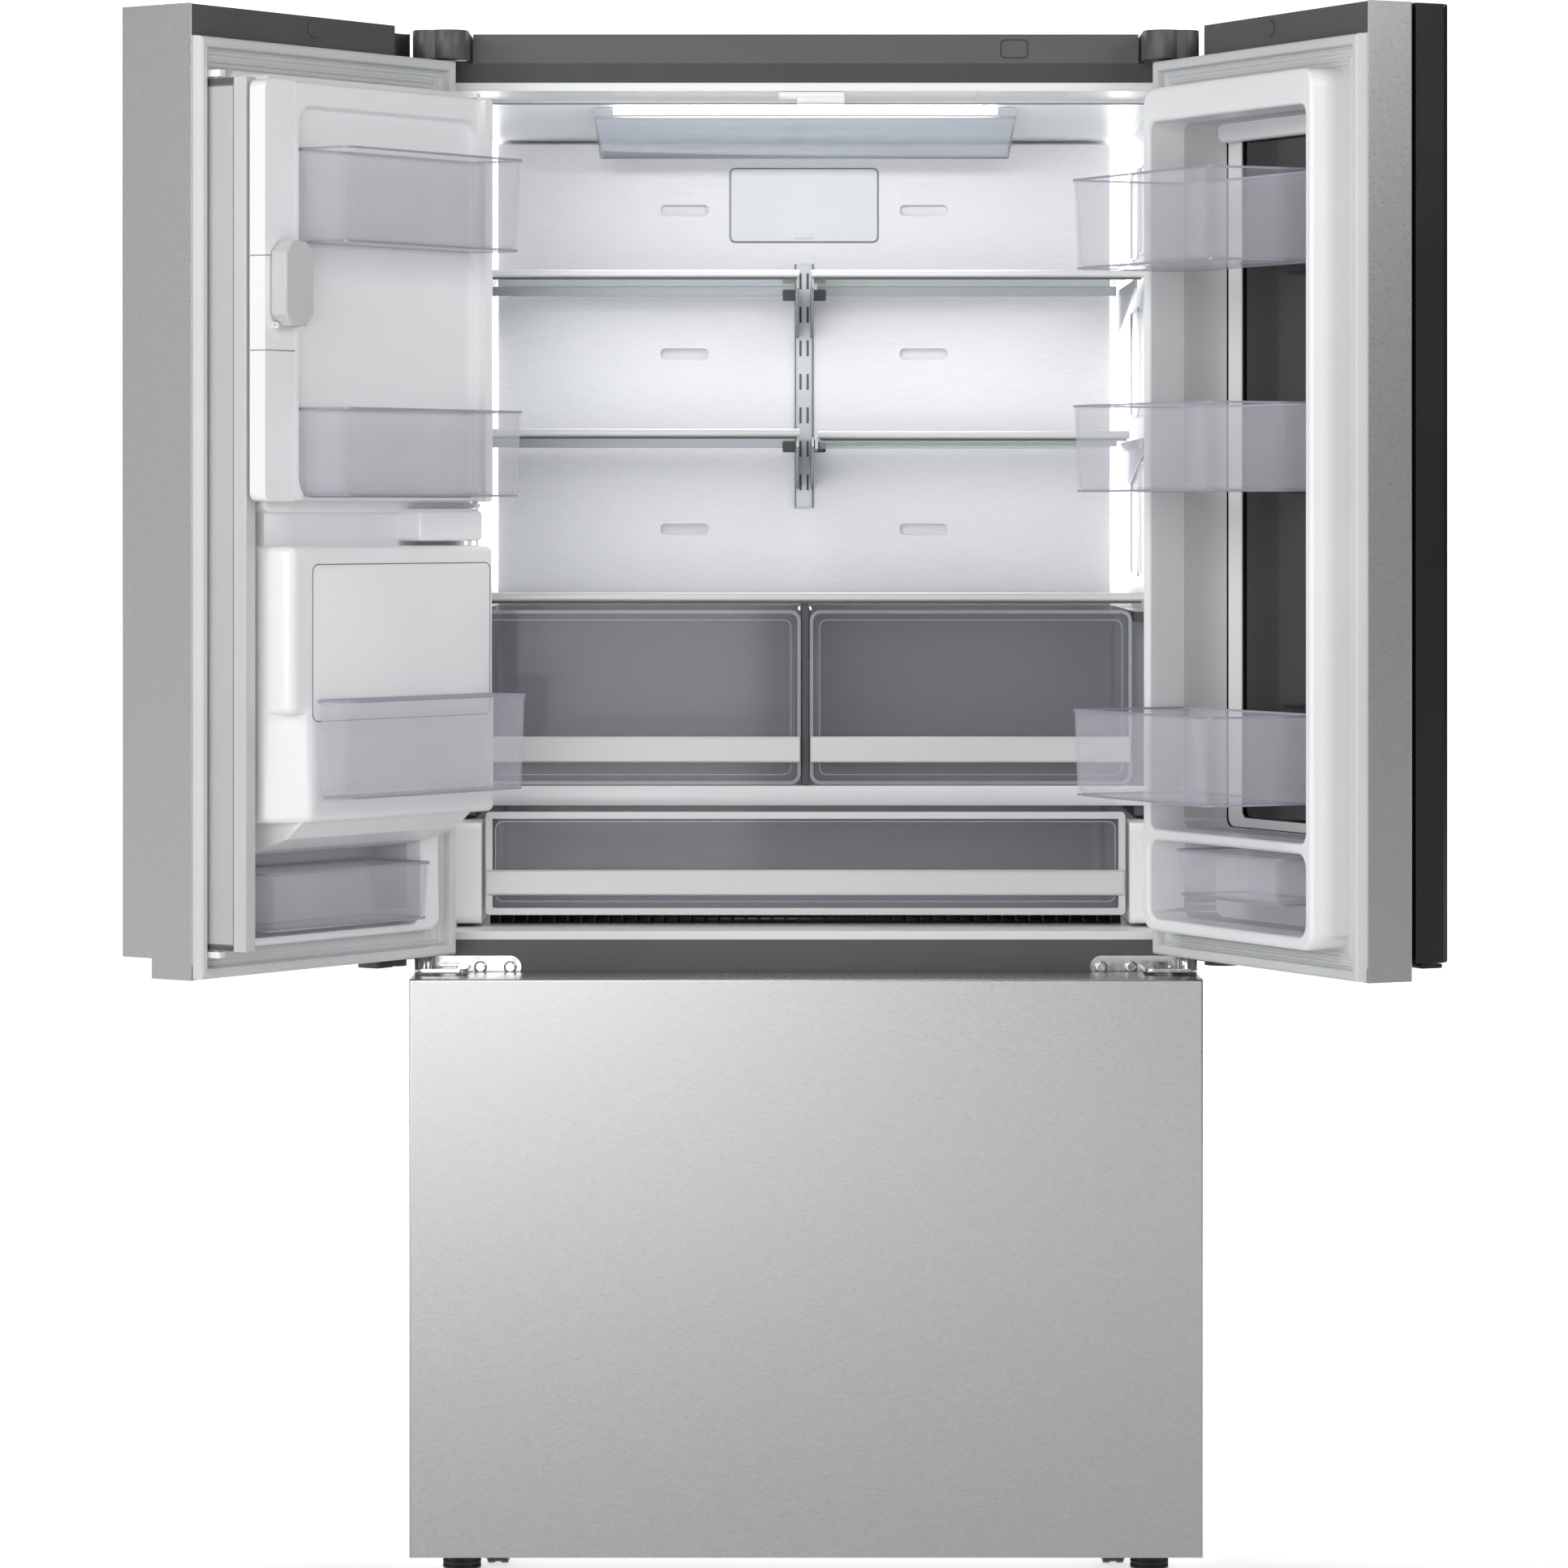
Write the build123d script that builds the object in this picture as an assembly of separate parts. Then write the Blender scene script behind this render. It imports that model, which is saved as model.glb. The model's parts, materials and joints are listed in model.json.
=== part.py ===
from build123d import *
import os
from math import atan2, cos, degrees, hypot, radians, sin

# French door refrigerator, in millimetres.
# Cabinet frame: X to the right, Y to the back with Y = 0 on the cabinet's front face, Z up from
# the floor. Door frame: u from a door's hinge edge to its free edge, v from the door's inner
# face towards the inside of the cabinet, Z as above. Doors are stored open, drawers shut.

# ---------------------------------------------------------------- cabinet
CASE_HALF = 454.0
CASE_DEPTH = 630.0
CASE_TOP = 1749.4
CASE_BOTTOM = 38.0
PAN_BOTTOM = 34.0
COVER_TOP = 1783.0
SHEET = 1.0
FLANGE_HALF = 436.0
OPENING_HALF = 409.0
LINER = 2.5
LINER_HALF = OPENING_HALF + LINER
RIM_BACK = 3.0
LINER_BACK = 560.0

FRIDGE_FLOOR = 742.0
FRIDGE_BASE = 732.0
CEILING_FRONT = 1717.0
CEILING_BACK = 1694.0
LINER_TOP = 1719.0
CROSSBAR_BOTTOM = 693.0
CROSSBAR_DEPTH = 45.0
FREEZER_TOP = 690.0
FREEZER_FLOOR = 60.0
STEP_FRONT = 400.0
STEP_TOP = 300.0
MACHINE_FRONT = 430.0
MACHINE_TOP = 262.0

# ---------------------------------------------------------------- doors
DOOR_HALF = 452.5
DOOR_WIDTH = 451.0
DOOR_DEPTH = 101.5
DOOR_GAP = 14.0
DOOR_BOTTOM = 719.0
DOOR_TOP = 1782.0
DOOR_SHOULDER = 1747.0
POCKET_TOP = 741.0
POCKET_DEPTH = 43.5
PIVOT_U = 13.07
PIVOT_V = -31.84
LEFT_OPEN = 125.66
RIGHT_OPEN = 116.44
PIN = 6.0
RUNNING = 0.06
GASKET = 13.5
GASKET_WIDTH = 12.0
GASKET_HINGE_U = 9.0
PLATEAU = 20.0
DIKE_LEFT = 408.0
DIKE_RIGHT = 410.0
DIKE_START = 46.0
DIKE_BOTTOM = 752.0
DIKE_TOP = 1711.0

# mullion flap, folded against the left door's dike
FLAP_U = (418.0, 435.0)
FLAP_V = (2.0, 64.0)
FLAP_Z = (752.0, 1700.0)
FLAP_AXIS = (430.5, 19.0)
FLAP_PIN = 3.0

# ice compartment door on the left door
ICE_DOOR_U = (50.0, 433.0)
ICE_DOOR_V = (68.0, 80.0)
ICE_DOOR_Z = (1240.0, 1697.0)
ICE_STRIP_U = 378.0
ICE_STRIP_V = 90.0
ICE_CHEEK_V = 98.0
ICE_AXIS = (52.0, 74.0)
ICE_PIN = 3.0
ICE_LATCH_U = (377.0, 424.0)
ICE_LATCH_V = (91.0, 112.0)
ICE_LATCH_Z = (1430.0, 1522.0)
ICE_LATCH_AXIS = (94.0, 1431.0)
ICE_LATCH_PIN = 2.0

# dispenser in the left door
HUMP_V = 104.0
HUMP_Z = (890.0, 1191.0)
HUMP_STEP = 1008.0
DISPENSER_U = (125.0, 325.0)
DISPENSER_Z = (945.0, 1395.0)
RECESS_U = (135.0, 315.0)
RECESS_Z = (960.0, 1240.0)
RECESS_BACK = -14.0
PADDLE_U = (195.0, 255.0)
PADDLE_Z = (1060.0, 1188.0)
PADDLE_V = -40.0

# outer glass door, hung on the right door's inner frame
FRAME_DEPTH = 57.0
OUTER_BACK = -61.0
OUTER_BOTTOM = 738.0
OUTER_TOP = 1781.5
OUTER_AXIS = (10.0, -80.0)
OUTER_PIN = 5.0
WINDOW_U = (60.0, 396.0)
WINDOW_Z = (868.0, 1672.0)
GLASS_U = (88.0, 384.0)
GLASS_Z = (878.0, 1660.0)
LATCH_U = (412.0, 446.0)
LATCH_AXIS = (-73.0, 742.0)
LATCH_Z = (732.0, 737.0)
LATCH_PIN = 2.0

# ---------------------------------------------------------------- inside the refrigerator
SHELF_FRONT = 148.0
SHELF_BACK = 505.0
SHELF_HALF = 402.0
SHELF_GAP = 7.0
TRIM_HEIGHT = 9.5
GLASS = 4.0
UPPER_SHELF = 1507.0
LOWER_SHELF = 1318.0
SLIDING_DROP = 12.0
SLIDING_FRONT = 326.0
DUCT_FRONT = 535.0
DUCT_HALF = 384.0
TRACK_Z = (1234.0, 1540.0)

CRISPER_COVER = 1123.0
CRISPER_X = (5.5, 388.0)
CRISPER_Y = (156.0, 520.0)
CRISPER_Z = (905.0, 1112.0)
CRISPER_HANDLE_Z = (931.0, 962.0)
PANTRY_HALF = 376.0
PANTRY_Y = (90.0, 520.0)
PANTRY_Z = (759.0, 876.0)
PANTRY_HANDLE_Z = (778.0, 808.0)
PANTRY_LID = (880.0, 901.0)
HANDLE_DEPTH = 8.0

# ---------------------------------------------------------------- freezer drawer
DRAWER_BOTTOM = 36.0
DRAWER_TOP = 695.5
BASKET_HALF = 372.0
BASKET_Y = (16.0, 386.0)
BASKET_Z = (76.0, 400.0)
RAIL_Z = (322.0, 358.0)
RAIL_MOVING = (376.0, 383.0)
RAIL_MIDDLE = (384.0, 391.0)
RAIL_FIXED = (392.0, OPENING_HALF)

# ---------------------------------------------------------------- base and machinery
FOOT_X = 400.0
FOOT_Y = 22.0
FOOT_RADIUS = 22.0
FOOT_HEIGHT = 13.0
REAR_FOOT_Y = 600.0
ROLLER_X = 359.0
ROLLER_Y = 46.0
ROLLER_RADIUS = 15.5
ROLLER_WIDTH = 26.0
ROLLER_Z = 16.5
AXLE = 4.0
FAN_AXIS = (80.0, 530.0, 148.0)
FAN_RADIUS = 72.0
WATER_X = -320.0
WATER_Z = 110.0
WATER_RADIUS = 3.175
GLAND_X = 330.0
GLAND_Z = 90.0
GLAND_LENGTH = 5.0
CORD_RADIUS = 4.5

# ---------------------------------------------------------------- place of the origin
# The origin is on the floor below the middle of the object with its doors as stored.


def swung(u, v, angle):
    """Closed-frame offset of a door point from its pivot, after the door has opened by angle."""
    reach = hypot(u - PIVOT_U, v - PIVOT_V)
    heading = radians(degrees(atan2(v - PIVOT_V, u - PIVOT_U)) - angle)
    return reach * cos(heading), reach * sin(heading)


PIVOT_X = DOOR_HALF - PIVOT_U
PIVOT_Y = PIVOT_V - DOOR_GAP
left_tip = swung(DOOR_WIDTH, -DOOR_DEPTH, LEFT_OPEN)
left_front = swung(DOOR_WIDTH, 0, LEFT_OPEN)
right_tip = swung(DOOR_WIDTH, -DOOR_DEPTH, RIGHT_OPEN)
right_front = swung(DOOR_WIDTH, 0, RIGHT_OPEN)
LOW_X = -PIVOT_X + left_tip[0]
HIGH_X = PIVOT_X - right_tip[0]
LOW_Y = PIVOT_Y + min(left_front[1], right_front[1])
HIGH_Y = CASE_DEPTH + GLAND_LENGTH
ORIGIN = Pos(-(LOW_X + HIGH_X) / 2, -(LOW_Y + HIGH_Y) / 2, 0)

LEFT = ORIGIN * Location((-PIVOT_X, PIVOT_Y, 0), (0, 0, -LEFT_OPEN)) * Pos(-PIVOT_U, -PIVOT_V, 0)
RIGHT = ORIGIN * Location((PIVOT_X, PIVOT_Y, 0), (0, 0, RIGHT_OPEN)) * Pos(PIVOT_U, -PIVOT_V, 0)


# ---------------------------------------------------------------- shapes
def block(x0, x1, y0, y1, z0, z1):
    """Box between two opposite corners."""
    centre = Pos((x0 + x1) / 2, (y0 + y1) / 2, (z0 + z1) / 2)
    return centre * Box(x1 - x0, y1 - y0, z1 - z0)


def rounded(x0, x1, y0, y1, z0, z1, radius, axis=Axis.Z):
    """Box with the four edges along one axis rounded."""
    solid = block(x0, x1, y0, y1, z0, z1)
    return fillet(solid.edges().filter_by(axis), radius)


def post(x, y, z0, z1, radius):
    """Upright cylinder."""
    return Pos(x, y, (z0 + z1) / 2) * Cylinder(radius, z1 - z0)


def bar_x(x0, x1, y, z, radius):
    """Cylinder along X."""
    return Pos((x0 + x1) / 2, y, z) * Rot(0, 90, 0) * Cylinder(radius, x1 - x0)


def bar_y(x, y0, y1, z, radius):
    """Cylinder along Y."""
    return Pos(x, (y0 + y1) / 2, z) * Rot(90, 0, 0) * Cylinder(radius, y1 - y0)


def side_profile(half, points):
    """Solid of a closed outline in the YZ plane, from X = -half to X = half."""
    outline = make_face(Polyline([(0, y, z) for y, z in points], close=True))
    return Pos(-half, 0, 0) * extrude(outline, 2 * half, dir=(1, 0, 0))


def crowned(solid, radius, axis=Axis.Y):
    """Rounds the edges of the face that looks furthest along an axis."""
    return fillet(solid.faces().sort_by(axis)[-1].edges(), radius)


def tray(x0, x1, y0, y1, z0, z1, wall, radius):
    """Open-topped bin with rounded upright corners."""
    outer = rounded(x0, x1, y0, y1, z0, z1, radius)
    inner = rounded(x0 + wall, x1 - wall, y0 + wall, y1 - wall, z0 + wall, z1 + 1, radius - wall)
    return outer - inner


def ring(x0, x1, y0, y1, z0, z1, width, radius):
    """Picture-frame ring standing in the XZ plane."""
    outer = rounded(x0, x1, y0, y1, z0, z1, radius, Axis.Y)
    inner = block(x0 + width, x1 - width, y0 - 1, y1 + 1, z0 + width, z1 - width)
    return outer - inner


def both_sides(shape):
    """A shape and its mirror image across the YZ plane."""
    return [mirror(shape, about=Plane.YZ), shape]


# ---------------------------------------------------------------- cabinet
def cabinet_structure():
    side = block(CASE_HALF - SHEET, CASE_HALF, 0, CASE_DEPTH, CASE_BOTTOM, CASE_TOP - SHEET)
    side += block(FLANGE_HALF, CASE_HALF - SHEET, 0, SHEET, CASE_BOTTOM, CASE_TOP - SHEET)
    top = block(-CASE_HALF, CASE_HALF, 0, CASE_DEPTH, CASE_TOP - SHEET, CASE_TOP)
    top += block(-FLANGE_HALF, FLANGE_HALF, 0, SHEET, 1727, CASE_TOP - SHEET)

    back_inner = CASE_DEPTH - SHEET
    wide = CASE_HALF - SHEET
    back = block(-wide, wide, back_inner, CASE_DEPTH, MACHINE_TOP, CASE_TOP - SHEET)
    cover = block(-440, 440, back_inner, CASE_DEPTH, 44, MACHINE_TOP - 2)
    cover -= block(WATER_X - 34, WATER_X + 34, back_inner - 1, CASE_DEPTH + 1, WATER_Z - 34, WATER_Z + 34)
    cover -= bar_y(GLAND_X, back_inner - 1, CASE_DEPTH + 1, GLAND_Z, CORD_RADIUS)
    vent = rounded(0, 26, back_inner - 1, CASE_DEPTH + 1, 0, 8, 3.5, Axis.Y)
    cover -= [Pos(36 * column - 200, 0, 38 * row + 80) * vent for column in range(12) for row in range(4)]

    sides = both_sides(block(LINER_HALF, wide, RIM_BACK, back_inner, CASE_BOTTOM, CASE_TOP - SHEET))
    slabs = [
        block(-LINER_HALF, LINER_HALF, RIM_BACK, back_inner, LINER_TOP, CASE_TOP - SHEET),
        block(-LINER_HALF, LINER_HALF, LINER_BACK, back_inner, STEP_TOP, LINER_TOP),
        block(-LINER_HALF, LINER_HALF, CROSSBAR_DEPTH, LINER_BACK, FREEZER_TOP, FRIDGE_BASE),
        block(-LINER_HALF, LINER_HALF, RIM_BACK, STEP_FRONT, CASE_BOTTOM, FREEZER_FLOOR),
        block(-LINER_HALF, LINER_HALF, STEP_FRONT, MACHINE_FRONT, CASE_BOTTOM, STEP_TOP),
        block(-LINER_HALF, LINER_HALF, MACHINE_FRONT, back_inner, MACHINE_TOP, STEP_TOP),
    ]

    crossbar = block(-FLANGE_HALF, FLANGE_HALF, 0, RIM_BACK, CROSSBAR_BOTTOM, FRIDGE_BASE)
    crossbar += block(-LINER_HALF, LINER_HALF, RIM_BACK, CROSSBAR_DEPTH, CROSSBAR_BOTTOM, FRIDGE_BASE)

    pan = block(-CASE_HALF, CASE_HALF, 2, CASE_DEPTH, PAN_BOTTOM, CASE_BOTTOM)
    cheeks = []
    for offset in (-ROLLER_WIDTH / 2 - 3.5, ROLLER_WIDTH / 2 + 3.5):
        x = ROLLER_X + offset
        cheek = block(x - 1.5, x + 1.5, ROLLER_Y - 14, ROLLER_Y + 14, 9, PAN_BOTTOM)
        cheeks += both_sides(cheek - bar_x(x - 2, x + 2, ROLLER_Y, ROLLER_Z, AXLE + RUNNING))
    return {
        "cabinet_shell": [*both_sides(side), top],
        "back_panel": [back, cover],
        "cabinet_foam": sides + slabs,
        "middle_crossbar": [crossbar],
        "base_pan": [pan, *cheeks],
    }


def liners():
    fridge = block(-LINER_HALF, LINER_HALF, RIM_BACK, LINER_BACK, FRIDGE_BASE, LINER_TOP)
    fridge += block(-FLANGE_HALF, FLANGE_HALF, SHEET, RIM_BACK, FRIDGE_BASE, 1727)
    hollow = [
        (-1, FRIDGE_FLOOR),
        (LINER_BACK - 2, FRIDGE_FLOOR),
        (LINER_BACK - 2, CEILING_BACK),
        (5, CEILING_FRONT),
        (-1, CEILING_FRONT),
    ]
    fridge -= side_profile(OPENING_HALF, hollow)

    outline = [
        (RIM_BACK, FREEZER_FLOOR),
        (STEP_FRONT, FREEZER_FLOOR),
        (STEP_FRONT, STEP_TOP),
        (LINER_BACK, STEP_TOP),
        (LINER_BACK, FREEZER_TOP),
        (RIM_BACK, FREEZER_TOP),
    ]
    freezer = side_profile(LINER_HALF, outline)
    freezer += block(-FLANGE_HALF, FLANGE_HALF, SHEET, RIM_BACK, 40, CROSSBAR_BOTTOM)
    inside = [
        (-1, FREEZER_FLOOR + LINER),
        (STEP_FRONT - LINER, FREEZER_FLOOR + LINER),
        (STEP_FRONT - LINER, STEP_TOP + LINER),
        (LINER_BACK - LINER, STEP_TOP + LINER),
        (LINER_BACK - LINER, FREEZER_TOP - LINER),
        (-1, FREEZER_TOP - LINER),
    ]
    freezer -= side_profile(OPENING_HALF, inside)
    return {"fridge_liner": [fridge, freezer]}


def hinge_hardware():
    upper = block(392, CASE_HALF - 4, -30, 60, CASE_TOP, CASE_TOP + 4)
    upper += post(PIVOT_X, PIVOT_Y, CASE_TOP, CASE_TOP + 4, 10)
    upper += block(PIVOT_X - 10, PIVOT_X + 10, PIVOT_Y, -30, CASE_TOP, CASE_TOP + 4)
    upper += post(PIVOT_X, PIVOT_Y, DOOR_SHOULDER - 10, CASE_TOP, PIN)

    plate = rounded(330, CASE_HALF - 4, -3, 0, 688, 714, 12.9, Axis.Y)
    arm = rounded(390, CASE_HALF - 3, PIVOT_Y - 12, -3, 699, 703, 9)
    arm -= rounded(402, 424, PIVOT_Y + 4, -12, 698, 704, 4)
    mid = plate + arm
    mid += post(PIVOT_X, PIVOT_Y, 703, 717.5, 11)
    mid += post(PIVOT_X, PIVOT_Y, 717.5, DOOR_BOTTOM + 12, PIN)

    screw = bar_y(342.6, -7, -3, 700.6, 7.5)
    screw = fillet(screw.edges().group_by(Axis.Y)[0], 2.8)
    screw -= bar_y(342.6, -8, -5, 700.6, 2.6)
    bolt = post(404, 30, CASE_TOP + 4, CASE_TOP + 10, 6)
    screws = []
    for shape in (screw, Pos(34.6, 0, 0) * screw, bolt, Pos(34, 0, 0) * bolt):
        screws += both_sides(shape)
    return {"door_hinges": both_sides(upper) + both_sides(mid), "hinge_screws": screws}


def top_covers():
    trim = block(-386, 386, 0, 78, CASE_TOP, COVER_TOP)
    trim -= block(-383, 383, 3, 79, CASE_TOP - 1, COVER_TOP - 3)
    trim = fillet(trim.edges().filter_by(Axis.X).group_by(Axis.Z)[-1].group_by(Axis.Y)[0], 1.5)

    cover_bottom = CASE_TOP + 0.6
    cover = block(389, CASE_HALF - 1, PIVOT_Y, 95, cover_bottom, COVER_TOP)
    cover += post(PIVOT_X - 3, PIVOT_Y, cover_bottom, COVER_TOP, 16)
    cover += post(PIVOT_X - 28, PIVOT_Y, cover_bottom, COVER_TOP, 22)
    cover += block(PIVOT_X - 28, PIVOT_X - 3, PIVOT_Y - 16, PIVOT_Y, cover_bottom, COVER_TOP)
    hollow = block(391.5, CASE_HALF - 3.5, PIVOT_Y, 93, cover_bottom - 1, COVER_TOP - 3)
    hollow += post(PIVOT_X - 3, PIVOT_Y, cover_bottom - 1, COVER_TOP - 3, 13.5)
    cover -= hollow
    return {"top_covers": [trim, *both_sides(cover)]}


# ---------------------------------------------------------------- inside the cabinet
def duct_and_lights():
    duct = block(-DUCT_HALF, DUCT_HALF, DUCT_FRONT, LINER_BACK - 2, 745, 1690)
    for level in (1600, 1420, 1200):
        for x in (-180, 120):
            duct -= rounded(x, x + 60, DUCT_FRONT - 1, DUCT_FRONT + 12, level, level + 14, 6, Axis.Y)

    filter_cover = rounded(-92, 92, DUCT_FRONT - 5, DUCT_FRONT, 1568, 1659, 6, Axis.Y)
    lamp_outline = [(162, 1709.8), (420, 1699.5), (420, 1670), (404, 1665), (176, 1698)]
    lamp_cover = side_profile(252, lamp_outline)

    bar = rounded(-228, 228, 147, 160, 1701, 1709, 3, Axis.X)
    strips = both_sides(rounded(386, 407, 532, 556, 1136, 1688, 4))
    return {
        "duct_panel": [duct],
        "liner_covers": [filter_cover, lamp_cover],
        "interior_lights": [bar, *strips],
    }


def trimmed_shelf(x0, x1, y0, y1, z):
    """Glass pane and the plastic trim along its front edge."""
    pane = block(x0 + 4, x1 - 4, y0 + 8, y1, z + 3, z + 3 + GLASS)
    trim = rounded(x0, x1, y0, y0 + 16, z, z + TRIM_HEIGHT, 3, Axis.X) - pane
    return pane, trim


def cantilever(x, z, reach):
    """Thin arm that hangs from the rear track and tapers towards the front."""
    outline = [
        (DUCT_FRONT - 4, z - 1),
        (DUCT_FRONT - 4, z - 60),
        (DUCT_FRONT - 14, z - 60),
        (reach, z - 12),
        (reach, z - 1),
    ]
    return Pos(x, 0, 0) * side_profile(1.5, outline)


def shelves():
    left_upper = trimmed_shelf(-SHELF_HALF, -SHELF_GAP, SHELF_FRONT, SHELF_BACK, UPPER_SHELF)
    right_upper = trimmed_shelf(SHELF_GAP, SHELF_HALF, SHELF_FRONT, SHELF_BACK, UPPER_SHELF)
    left_lower = trimmed_shelf(-SHELF_HALF, -SHELF_GAP, SHELF_FRONT, SHELF_BACK, LOWER_SHELF)
    right_rear = trimmed_shelf(16, SHELF_HALF - 6, SLIDING_FRONT, SHELF_BACK, LOWER_SHELF)
    cover_pane = block(-398, 398, SHELF_FRONT + 8, 528, CRISPER_COVER + 3, CRISPER_COVER + 3 + GLASS)
    cover_trim = rounded(
        -SHELF_HALF, SHELF_HALF, SHELF_FRONT, SHELF_FRONT + 18, CRISPER_COVER, CRISPER_COVER + 10, 3, Axis.X
    )
    cover_trim -= cover_pane
    lid = block(-404, 404, 152, 528, *PANTRY_LID)

    supports = []
    for z, outer in ((UPPER_SHELF, 394), (LOWER_SHELF, 405)):
        for x in (-394, -9, 9, outer):
            supports.append(cantilever(x, z, SHELF_FRONT + 22))
        for x0, x1 in ((-390, -13), (16, 390)):
            supports.append(block(x0, x1, 494, 504, z - 9, z + 2.9))
    for x0, x1 in ((11.5, 15.5), (398.5, 402.5)):
        supports.append(block(x0, x1, 175, 528, LOWER_SHELF - 14, LOWER_SHELF - 2))
    track = block(-10.5, 10.5, DUCT_FRONT - 4, DUCT_FRONT, *TRACK_Z)
    for step in range(7):
        z = TRACK_Z[0] + 22 + step * 42
        for x in (-6, 3):
            track -= block(x, x + 3, DUCT_FRONT - 5, DUCT_FRONT + 1, z, z + 20)
    supports.append(track)

    slide_z = LOWER_SHELF - SLIDING_DROP
    slide = trimmed_shelf(18, SHELF_HALF - 5.5, SLIDING_FRONT, SHELF_BACK - 14, slide_z)
    return {
        "shelf_panes": [left_upper[0], right_upper[0], left_lower[0], right_rear[0], cover_pane, lid],
        "shelf_trims": [left_upper[1], right_upper[1], left_lower[1], right_rear[1], cover_trim],
        "shelf_supports": supports,
        "sliding_shelf": list(slide),
    }


def drawers():
    x0, x1 = CRISPER_X
    bin_right = tray(x0, x1, *CRISPER_Y, *CRISPER_Z, 2.6, 10)
    bin_right += block(x0 + 1, x1 - 1, CRISPER_Y[0] + 1, CRISPER_Y[0] + 5, CRISPER_Z[0] + 1, CRISPER_Z[1])
    handle_back = CRISPER_Y[0]
    handle = rounded(
        x0 + 1, x1 - 2, handle_back - HANDLE_DEPTH, handle_back, *CRISPER_HANDLE_Z, 2.5, Axis.X
    )
    handle -= block(x0 + 10, x1 - 10, handle_back - 4, handle_back + 1, CRISPER_HANDLE_Z[0] - 1, 950)
    bins = both_sides(bin_right)
    handles = both_sides(handle)

    divider = block(-4, 4, 164, 528, 902, 1122)
    ledges = both_sides(block(391, OPENING_HALF, 170, 528, 1098, 1110))
    foot_rails = both_sides(block(391, OPENING_HALF, 152, 528, 868, PANTRY_LID[0]))

    bottom, top = PANTRY_Z
    pantry = tray(-PANTRY_HALF, PANTRY_HALF, *PANTRY_Y, bottom, top, 2.8, 14)
    front = PANTRY_Y[0]
    frame = ring(-PANTRY_HALF, PANTRY_HALF, front - 4, front, bottom - 4, top, 8, 5)
    low, high = PANTRY_HANDLE_Z
    frame += rounded(-PANTRY_HALF + 2, PANTRY_HALF - 2, front - HANDLE_DEPTH, front, low, high, 2.5, Axis.X)
    frame -= block(-PANTRY_HALF + 14, PANTRY_HALF - 14, front - 4, front + 1, low - 1, high - 12)
    rails = both_sides(rounded(380, OPENING_HALF, 62, 520, 746, 864, 9, Axis.X))
    return {
        "crisper_left": [bins[0]],
        "crisper_right": [bins[1]],
        "crisper_handle_left": [handles[0]],
        "crisper_handle_right": [handles[1]],
        "crisper_frame": [divider, *ledges, *foot_rails],
        "pantry_drawer": [pantry],
        "pantry_handle": [frame],
        "pantry_rails": rails,
    }


# ---------------------------------------------------------------- freezer drawer
def freezer_drawer():
    front = -DOOR_GAP - DOOR_DEPTH
    back = -DOOR_GAP
    skin = block(-DOOR_HALF, DOOR_HALF, front, back, DRAWER_BOTTOM, DRAWER_TOP)
    skin = fillet(skin.edges().group_by(Axis.Y)[0], 2)
    half = DOOR_HALF - SHEET
    skin -= block(-half, half, front + SHEET, back + 1, DRAWER_BOTTOM + SHEET, DRAWER_TOP - SHEET)
    panel = block(-half, half, front + SHEET, back, DRAWER_BOTTOM + SHEET, DRAWER_TOP - SHEET)
    panel += crowned(rounded(-398, 398, back - 2, 12, 68, 672, 14, Axis.Y), 5)
    seal = ring(-449, 449, back, back + GASKET, 40, 686, GASKET_WIDTH, 6)
    basket = tray(-BASKET_HALF, BASKET_HALF, *BASKET_Y, *BASKET_Z, 3, 20)
    basket += ring_top(BASKET_HALF, BASKET_Y, BASKET_Z[1])
    moving = block(*RAIL_MOVING, 12, 480, *RAIL_Z)
    moving += block(RAIL_MOVING[0], RAIL_MIDDLE[1], 12, 18, RAIL_Z[0] - 20, RAIL_Z[1] + 20)
    middle = block(*RAIL_MIDDLE, 24, 480, *RAIL_Z)
    middle -= block(RAIL_MIDDLE[0] - 1, RAIL_MIDDLE[0] + 4, 23, 481, RAIL_Z[0] + 8, RAIL_Z[1] - 8)
    fixed = block(*RAIL_FIXED, 24, 490, *RAIL_Z)
    fixed -= block(RAIL_FIXED[0] - 1, RAIL_FIXED[0] + 9, 23, 491, RAIL_Z[0] + 6, RAIL_Z[1] - 6)
    return {
        "freezer_front": [skin],
        "freezer_inner_panel": [panel],
        "freezer_gasket": [seal],
        "freezer_basket": [basket],
        "freezer_rails_moving": both_sides(moving),
        "freezer_rails_middle": both_sides(middle),
        "freezer_rails_fixed": both_sides(fixed),
    }


def ring_top(half, reach, z):
    """Rolled rim round the top of the freezer basket."""
    y0, y1 = reach
    outer = rounded(-half - 3, half + 3, y0 - 3, y1 + 3, z - 10, z, 22)
    return outer - rounded(-half + 3, half - 3, y0 + 3, y1 - 3, z - 11, z + 1, 17)


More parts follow.
